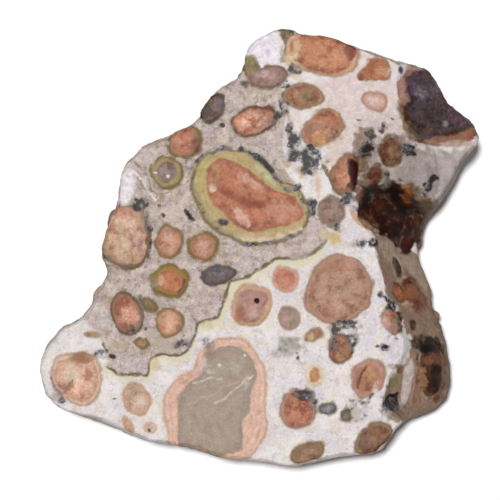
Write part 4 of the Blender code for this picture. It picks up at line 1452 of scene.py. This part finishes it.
@dataclass(frozen=True)
class BreakRelief:
    """The fine relief of the broken sides, which the sawn face has not."""

    lump_mm: float = 3.0
    lump_height: float = 0.55
    lump_detail: float = 3.0
    grain_mm: float = 1.1
    grain_height: float = 0.30
    grain_detail: float = 4.0
    seed: float = 7.0

    def tree(self) -> bpy.types.NodeTree:
        """Builds the node tree, with its sizes as named inputs.

        Returns:
            The tree.
        """
        tree = bpy.data.node_groups.new("break_relief", "GeometryNodeTree")
        face = tree.interface
        face.new_socket("Geometry", in_out="INPUT", socket_type="NodeSocketGeometry")
        for name in ("Lump Size", "Lump Height", "Grain Size", "Grain Height", "Seed"):
            face.new_socket(name, in_out="INPUT", socket_type="NodeSocketFloat")
        face.new_socket("Material", in_out="INPUT", socket_type="NodeSocketMaterial")
        face.new_socket("Geometry", in_out="OUTPUT", socket_type="NodeSocketGeometry")
        new, link = tree.nodes.new, tree.links.new
        source, result = new("NodeGroupInput"), new("NodeGroupOutput")

        def sum_of(operation: str, first: bpy.types.NodeSocket,
                   second: bpy.types.NodeSocket | float) -> bpy.types.NodeSocket:
            """Adds one Math node.

            Args:
                operation: The node's operation.
                first: Its first input.
                second: Its second input.

            Returns:
                The node's result.
            """
            node = new("ShaderNodeMath")
            node.operation = operation
            for socket, value in zip(node.inputs, (first, second)):
                if isinstance(value, (int, float)):
                    socket.default_value = value
                else:
                    link(value, socket)
            return node.outputs[0]

        def relief(size: str, height: str, detail: float) -> bpy.types.NodeSocket:
            """A noise between minus and plus half the named height.

            Args:
                size: The name of the input that holds the size of the noise.
                height: The name of the input that holds its height.
                detail: How many finer layers the noise has.

            Returns:
                The noise.
            """
            noise = new("ShaderNodeTexNoise")
            noise.noise_dimensions = "4D"
            noise.inputs["Detail"].default_value = detail
            link(new("GeometryNodeInputPosition").outputs[0], noise.inputs["Vector"])
            link(source.outputs["Seed"], noise.inputs["W"])
            scale = new("ShaderNodeMath")
            scale.operation = "DIVIDE"
            scale.inputs[0].default_value = 1.0
            link(source.outputs[size], scale.inputs[1])
            link(scale.outputs[0], noise.inputs["Scale"])
            centred = sum_of("SUBTRACT", noise.outputs["Fac"], 0.5)
            return sum_of("MULTIPLY", centred, source.outputs[height])

        broken = new("GeometryNodeInputNamedAttribute")
        broken.data_type = "FLOAT"
        broken.inputs["Name"].default_value = "broken"
        lumps = relief("Lump Size", "Lump Height", self.lump_detail)
        grains = relief("Grain Size", "Grain Height", self.grain_detail)
        total = sum_of("ADD", lumps, grains)
        total = sum_of("MULTIPLY", total, broken.outputs["Attribute"])
        offset = new("ShaderNodeVectorMath")
        offset.operation = "SCALE"
        link(new("GeometryNodeInputNormal").outputs[0], offset.inputs[0])
        link(total, offset.inputs["Scale"])
        move = new("GeometryNodeSetPosition")
        real = new("GeometryNodeRealizeInstances")
        dress = new("GeometryNodeSetMaterial")
        link(source.outputs["Geometry"], move.inputs["Geometry"])
        link(offset.outputs[0], move.inputs["Offset"])
        link(move.outputs["Geometry"], real.inputs["Geometry"])
        link(real.outputs["Geometry"], dress.inputs["Geometry"])
        link(source.outputs["Material"], dress.inputs["Material"])
        link(dress.outputs["Geometry"], result.inputs["Geometry"])
        return tree

    def applied(self, stone: bpy.types.Object, material: bpy.types.Material) -> bpy.types.Mesh:
        """Runs the tree on the stone.

        Args:
            stone: The stone with its broken attribute.
            material: The stone's material.

        Returns:
            The finished mesh.
        """
        relief = stone.modifiers.new("break_relief", "NODES")
        relief.node_group = self.tree()
        values = {
            "Lump Size": self.lump_mm * MM, "Lump Height": self.lump_height * MM * 2.0,
            "Grain Size": self.grain_mm * MM, "Grain Height": self.grain_height * MM * 2.0,
            "Seed": self.seed, "Material": material,
        }
        for item in relief.node_group.interface.items_tree:
            if item.in_out == "INPUT" and item.name in values:
                relief[item.identifier] = values[item.name]
        evaluated = stone.evaluated_get(bpy.context.evaluated_depsgraph_get())
        mesh = bpy.data.meshes.new_from_object(evaluated)
        stone.modifiers.remove(relief)
        return mesh


@dataclass
class Stone:
    """The stone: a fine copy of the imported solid, with its relief, its fields and its finish."""

    grid_mm: float = 0.77
    level_mm: float = 0.22
    fine_slope: float = 0.45
    fine_above: float = 18.0
    soften_steps: int = 7
    outline_steps: int = 360
    outline_slack: float = 0.25
    swell_mm: float = 0.45
    groove_mm: float = 0.30
    face_swell_mm: float = 0.05
    face_groove_mm: float = 0.06
    cavity_steps: int = 12
    map_half_mm: float = 55.0
    map_face: float = 0.70
    map_gap: float = 0.004
    map_level: float = 0.35
    finish: StoneFinish = StoneFinish()
    relief: BreakRelief = BreakRelief()

    def fine_copy(self, node: bpy.types.Object) -> bpy.types.Mesh:
        """An even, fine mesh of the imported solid, finer where it looks up.

        Args:
            node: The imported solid.

        Returns:
            The fine mesh.
        """
        form = bmesh.new()
        form.from_mesh(node.data)
        bmesh.ops.remove_doubles(form, verts=form.verts, dist=1e-6)
        merged = bpy.data.meshes.new("merged_stone")
        form.to_mesh(merged)
        form.free()
        guide = bpy.data.objects.new("merged_stone", merged)
        bpy.context.scene.collection.objects.link(guide)
        grid = guide.modifiers.new("grid", "REMESH")
        grid.mode = "VOXEL"
        grid.voxel_size = self.grid_mm * MM
        mesh = bpy.data.meshes.new_from_object(guide.evaluated_get(bpy.context.evaluated_depsgraph_get()))
        bpy.data.objects.remove(guide)
        form = bmesh.new()
        form.from_mesh(mesh)
        for vertex in form.verts:
            level = abs(vertex.co.z / MM - FACE_HEIGHT) < self.level_mm
            if level and vertex.normal.z > 0.9:
                vertex.co.z = FACE_HEIGHT * MM
        form.normal_update()
        high = self.fine_above * MM
        fine = {e for f in form.faces if f.normal.z > self.fine_slope and f.calc_center_median().z > high
                for e in f.edges}
        edges = sorted(fine, key=lambda e: e.index)
        bmesh.ops.subdivide_edges(form, edges=edges, cuts=1, use_grid_fill=True)
        form.to_mesh(mesh)
        form.free()
        return mesh

    def softened(self, mesh: bpy.types.Mesh, points: np.ndarray, loose: np.ndarray, steps: int) -> np.ndarray:
        """Evens the points out between their neighbours.

        Args:
            mesh: The mesh whose edges join the points.
            points: The points in millimetres.
            loose: How freely each point moves, from 0 to 1.
            steps: How many times it is done.

        Returns:
            The new points.
        """
        ends = np.empty(len(mesh.edges) * 2, np.int32)
        mesh.edges.foreach_get("vertices", ends)
        one, two = ends.reshape(-1, 2).T
        degree = np.bincount(ends, minlength=len(points)).astype(float)[:, None]
        for _ in range(steps):
            total = np.zeros_like(points)
            for axis in range(3):
                total[:, axis] = (np.bincount(one, points[two, axis], len(points))
                                  + np.bincount(two, points[one, axis], len(points)))
            points = points + (total / degree - points) * 0.5 * loose[:, None]
        return points

    def normals_of(self, mesh: bpy.types.Mesh, points: np.ndarray) -> np.ndarray:
        """Moves the mesh to the points and reads its outward directions.

        Args:
            mesh: The mesh.
            points: The points in millimetres.

        Returns:
            The outward direction at each point.
        """
        mesh.vertices.foreach_set("co", (points * MM).ravel())
        mesh.update()
        normals = np.empty(len(points) * 3)
        mesh.vertices.foreach_get("normal", normals)
        return normals.reshape(-1, 3)

    def held_in(self, before: np.ndarray, points: np.ndarray) -> np.ndarray:
        """Draws in what stands out past the stone's outline as seen from above.

        Args:
            before: The points without their relief.
            points: The same points with it.

        Returns:
            The points, of which the ones past the outline are drawn in.
        """
        old, new = before[:, :2] - MIDDLE, points[:, :2] - MIDDLE
        share = self.outline_steps / (2.0 * math.pi)
        steps = [(np.arctan2(away[:, 1], away[:, 0]) * share).astype(int) % self.outline_steps
                 for away in (old, new)]
        limits = np.zeros(self.outline_steps)
        np.maximum.at(limits, steps[0], np.linalg.norm(old, axis=1))
        limits = np.maximum(limits, np.maximum(np.roll(limits, 1), np.roll(limits, -1)))
        reach = np.linalg.norm(new, axis=1)
        over = np.maximum(reach - limits[steps[1]], 0.0)
        kept = reach - over + self.outline_slack * np.tanh(over / self.outline_slack)
        held = points.copy()
        held[:, :2] = new * (kept / np.maximum(reach, 1e-6))[:, None] + MIDDLE
        return held

    def shaped(self, mesh: bpy.types.Mesh, crowd: OncoidCrowd) -> None:
        """Gives the mesh its relief and its fields.

        Args:
            mesh: The fine mesh, changed in place.
            crowd: The oncoids, of which the hidden ones are placed here.
        """
        points = np.empty(len(mesh.vertices) * 3)
        mesh.vertices.foreach_get("co", points)
        points = points.reshape(-1, 3) / MM
        normals = self.normals_of(mesh, points)
        sawn = (np.abs(points[:, 2] - FACE_HEIGHT) < 0.01) & (normals[:, 2] > 0.8)
        level = sawn | (points[:, 2] < 0.2)
        points = self.softened(mesh, points, np.where(level, 0.0, 1.0), self.soften_steps)
        normals = self.normals_of(mesh, points)
        broken = np.where(sawn, 0.0, 1.0)[:, None]
        broken = self.softened(mesh, broken.repeat(3, 1), np.ones(len(points)), 2)[:, 0]
        crowd.place_hidden(points, normals)
        stone_fields = StoneFields(points, normals, broken)
        fields = stone_fields.everything(crowd)
        edge = fields["edge_mm"]
        swell = smooth_step(edge, 0.2, -1.6) * (self.swell_mm + fields["proud"])
        swell -= self.groove_mm * smooth_step(np.abs(edge), 0.7, 0.0)
        face_swell = self.face_swell_mm * smooth_step(edge, 0.1, -0.5)
        face_swell -= self.face_groove_mm * smooth_step(np.abs(edge), 0.35, 0.0)
        resting = smooth_step(points[:, 2], 0.0, 1.5)
        offset = (broken * swell + (1.0 - broken) * face_swell) * resting
        for pixel, radius, depth in PITS:
            away = np.linalg.norm(points[:, :2] - on_face([pixel])[0], axis=1)
            above = (normals[:, 2] > 0.3) & (points[:, 2] > 20.0)
            offset -= depth * smooth_step(away / radius, 1.0, 0.2) * above
        points = self.held_in(points, points + normals * offset[:, None])
        fields["broken"] = broken * resting
        hidden = smooth_step(normals[:, 2], 0.45, 0.0)
        hidden *= smooth_step(points[:, 2], FACE_HEIGHT - 0.5, FACE_HEIGHT - 4.0)
        fields["crust"] = np.maximum(hidden, smooth_step(points[:, 2], 22.0, 12.0)) * broken
        # How deep each point lies in a hollow, where the material paints shade.
        cavity = self.softened(mesh, points, np.ones(len(points)), self.cavity_steps) - points
        cavity = (cavity * normals).sum(1)
        fields["cavity"] = smooth_step(cavity, 0.08, 0.9)
        self.normals_of(mesh, points)
        for name, values in fields.items():
            if name == "proud":
                continue
            width = 1 if values.ndim == 1 else values.shape[1]
            kind = {1: "FLOAT", 3: "FLOAT_VECTOR", 4: "FLOAT_COLOR"}[width]
            layer = mesh.attributes.new(name, kind, "POINT")
            key = {"FLOAT": "value", "FLOAT_VECTOR": "vector", "FLOAT_COLOR": "color"}[kind]
            layer.data.foreach_set(key, values.astype(np.float32).ravel())

    def unwrap(self, mesh: bpy.types.Mesh) -> None:
        """Adds the map for baking: the face in a square, the underside beside it, the walls in strips above.

        Args:
            mesh: The finished mesh.
        """
        points = np.empty(len(mesh.vertices) * 3)
        mesh.vertices.foreach_get("co", points)
        points = points.reshape(-1, 3) / MM
        count = len(mesh.polygons)
        normals, middles = np.empty(count * 3), np.empty(count * 3)
        starts, totals = np.empty(count, np.int32), np.empty(count, np.int32)
        mesh.polygons.foreach_get("normal", normals)
        mesh.polygons.foreach_get("center", middles)
        mesh.polygons.foreach_get("loop_start", starts)
        mesh.polygons.foreach_get("loop_total", totals)
        corners = np.empty(len(mesh.loops), np.int32)
        mesh.loops.foreach_get("vertex_index", corners)
        owner = np.repeat(np.arange(count), totals)
        tilt = normals.reshape(-1, 3)[owner, 2]
        middle = middles.reshape(-1, 3)[owner] / MM - (*MIDDLE, 0.0)
        place = points[corners]
        across = (place[:, :2] + self.map_half_mm) / (2.0 * self.map_half_mm)
        seen = np.clip(across, 0.0, 1.0) * self.map_face + self.map_gap
        under = np.clip(across, 0.0, 1.0) * (1.0 - self.map_face - 4.0 * self.map_gap)
        under += (self.map_face + 3.0 * self.map_gap, self.map_gap)
        own_angle = np.arctan2(middle[:, 1], middle[:, 0])
        away = place - (*MIDDLE, 0.0)
        turn = np.arctan2(away[:, 1], away[:, 0]) - own_angle
        angle = own_angle + (turn + math.pi) % (2.0 * math.pi) - math.pi
        strip = (own_angle > 0.0).astype(float)
        high = (1.0 - self.map_face - 5.0 * self.map_gap) / 2.0
        along = np.clip((angle + (1.0 - strip) * math.pi) / math.pi, -0.004, 1.004) * 0.98 + 0.01
        up = np.clip(place[:, 2] / FACE_HEIGHT, 0.0, 1.0) * high
        wall = np.stack([along, up + self.map_face + 3.0 * self.map_gap + strip * (high + self.map_gap)], 1)
        level = self.map_level
        chosen = np.where((tilt > level)[:, None], seen, np.where((tilt < -level)[:, None], under, wall))
        layer = mesh.uv_layers.new(name="OFBake")
        layer.data.foreach_set("uv", chosen.astype(np.float32).ravel())

    def build(self) -> bpy.types.Object:
        """Builds the finished stone.

        Returns:
            The stone.
        """
        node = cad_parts["oncolite"]
        surface = BVHTree.FromObject(node, bpy.context.evaluated_depsgraph_get())
        mesh = self.fine_copy(node)
        log.info("fine copy: %d points", len(mesh.vertices))
        crowd = OncoidCrowd(surface)
        crowd.place_known()
        self.shaped(mesh, crowd)
        stone = bpy.data.objects.new("oncolite_stone", mesh)
        bpy.context.scene.collection.objects.link(stone)
        stone.data = self.relief.applied(stone, self.finish.material())
        stone.data.name = "oncolite_stone"
        stone.data.shade_smooth()
        self.unwrap(stone.data)
        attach(stone, "root")
        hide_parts("oncolite")
        triangles = sum(len(p.vertices) - 2 for p in stone.data.polygons)
        log.info("oncolite_stone: %d triangles", triangles)
        return stone


@dataclass
class Studio:
    """The floor, the lights and the camera."""

    floor_size: float = 3.0
    floor_colour: tuple[float, float, float, float] = (0.87, 0.87, 0.87, 1.0)
    sky_strength: float = 0.05
    lens: float = 400.0
    sensor: float = 36.0
    picture_pixels: float = 500.0

    def floor(self) -> None:
        """A plain pale floor under the stone."""
        half = self.floor_size / 2.0
        corners = [(-half, -half, 0.0), (half, -half, 0.0), (half, half, 0.0), (-half, half, 0.0)]
        mesh = bpy.data.meshes.new("floor")
        mesh.from_pydata(corners, [], [(0, 1, 2, 3)])
        ground = bpy.data.objects.new("floor", mesh)
        bpy.context.scene.collection.objects.link(ground)
        paint = bpy.data.materials.new("floor_paint")
        paint.use_nodes = True
        surface = paint.node_tree.nodes["Principled BSDF"]
        surface.inputs["Base Color"].default_value = self.floor_colour
        surface.inputs["Roughness"].default_value = 1.0
        surface.inputs["Specular IOR Level"].default_value = 0.0
        mesh.materials.append(paint)

    def lights(self) -> None:
        """A pale sky, a key light from above, a soft one from the upper left and a low fill."""
        world = bpy.data.worlds.new("studio")
        world.use_nodes = True
        world.node_tree.nodes["Background"].inputs["Color"].default_value = (1.0, 1.0, 1.0, 1.0)
        world.node_tree.nodes["Background"].inputs["Strength"].default_value = self.sky_strength
        new, link = world.node_tree.nodes.new, world.node_tree.links.new
        rays, seen, sky = new("ShaderNodeLightPath"), new("ShaderNodeBackground"), new("ShaderNodeMixShader")
        link(rays.outputs["Is Camera Ray"], sky.inputs["Fac"])
        link(world.node_tree.nodes["Background"].outputs[0], sky.inputs[1])
        link(seen.outputs[0], sky.inputs[2])
        link(sky.outputs[0], world.node_tree.nodes["World Output"].inputs["Surface"])
        bpy.context.scene.world = world
        self.lamp("key", energy=3.48, angle=3.6, towards=(-0.055, 0.060, 1.0))
        self.lamp("side_light", energy=0.50, angle=25.0, towards=(-0.75, 0.55, 0.30))
        self.lamp("fill_light", energy=0.20, angle=20.0, towards=(0.75, -0.60, 0.18))

    def lamp(self, name: str, energy: float, angle: float, towards: tuple[float, float, float]) -> None:
        """Adds a distant lamp.

        Args:
            name: The lamp's name.
            energy: Its strength.
            angle: How wide it looks from the stone, in degrees.
            towards: The direction from the stone to it.
        """
        data = bpy.data.lights.new(name, "SUN")
        data.energy = energy
        data.angle = math.radians(angle)
        lamp = bpy.data.objects.new(name, data)
        lamp.rotation_euler = Vector(towards).to_track_quat("Z", "Y").to_euler()
        bpy.context.scene.collection.objects.link(lamp)

    def camera(self) -> None:
        """A long lens that looks straight down on the sawn face."""
        data = bpy.data.cameras.new("camera")
        data.lens = self.lens
        data.sensor_width = self.sensor
        data.clip_start, data.clip_end = 0.05, 20.0
        eye = bpy.data.objects.new("camera", data)
        half = self.picture_pixels / 2.0
        across, up = on_face([(half, half)])[0]
        distance = self.picture_pixels * PIXEL_MM * self.lens / self.sensor
        eye.location = Vector((across, up, FACE_HEIGHT + distance)) * MM
        bpy.context.scene.collection.objects.link(eye)
        bpy.context.scene.camera = eye
        bpy.context.scene.view_settings.view_transform = "Standard"

    def build(self) -> None:
        """Builds the studio."""
        self.floor()
        self.lights()
        self.camera()
        log.info("studio: floor, lights and camera")


def main() -> None:
    """Builds the stone and its studio."""
    logging.basicConfig(level=logging.INFO, format="%(name)s: %(message)s")
    Stone().build()
    Studio().build()


if __name__ == "__main__":
    main()
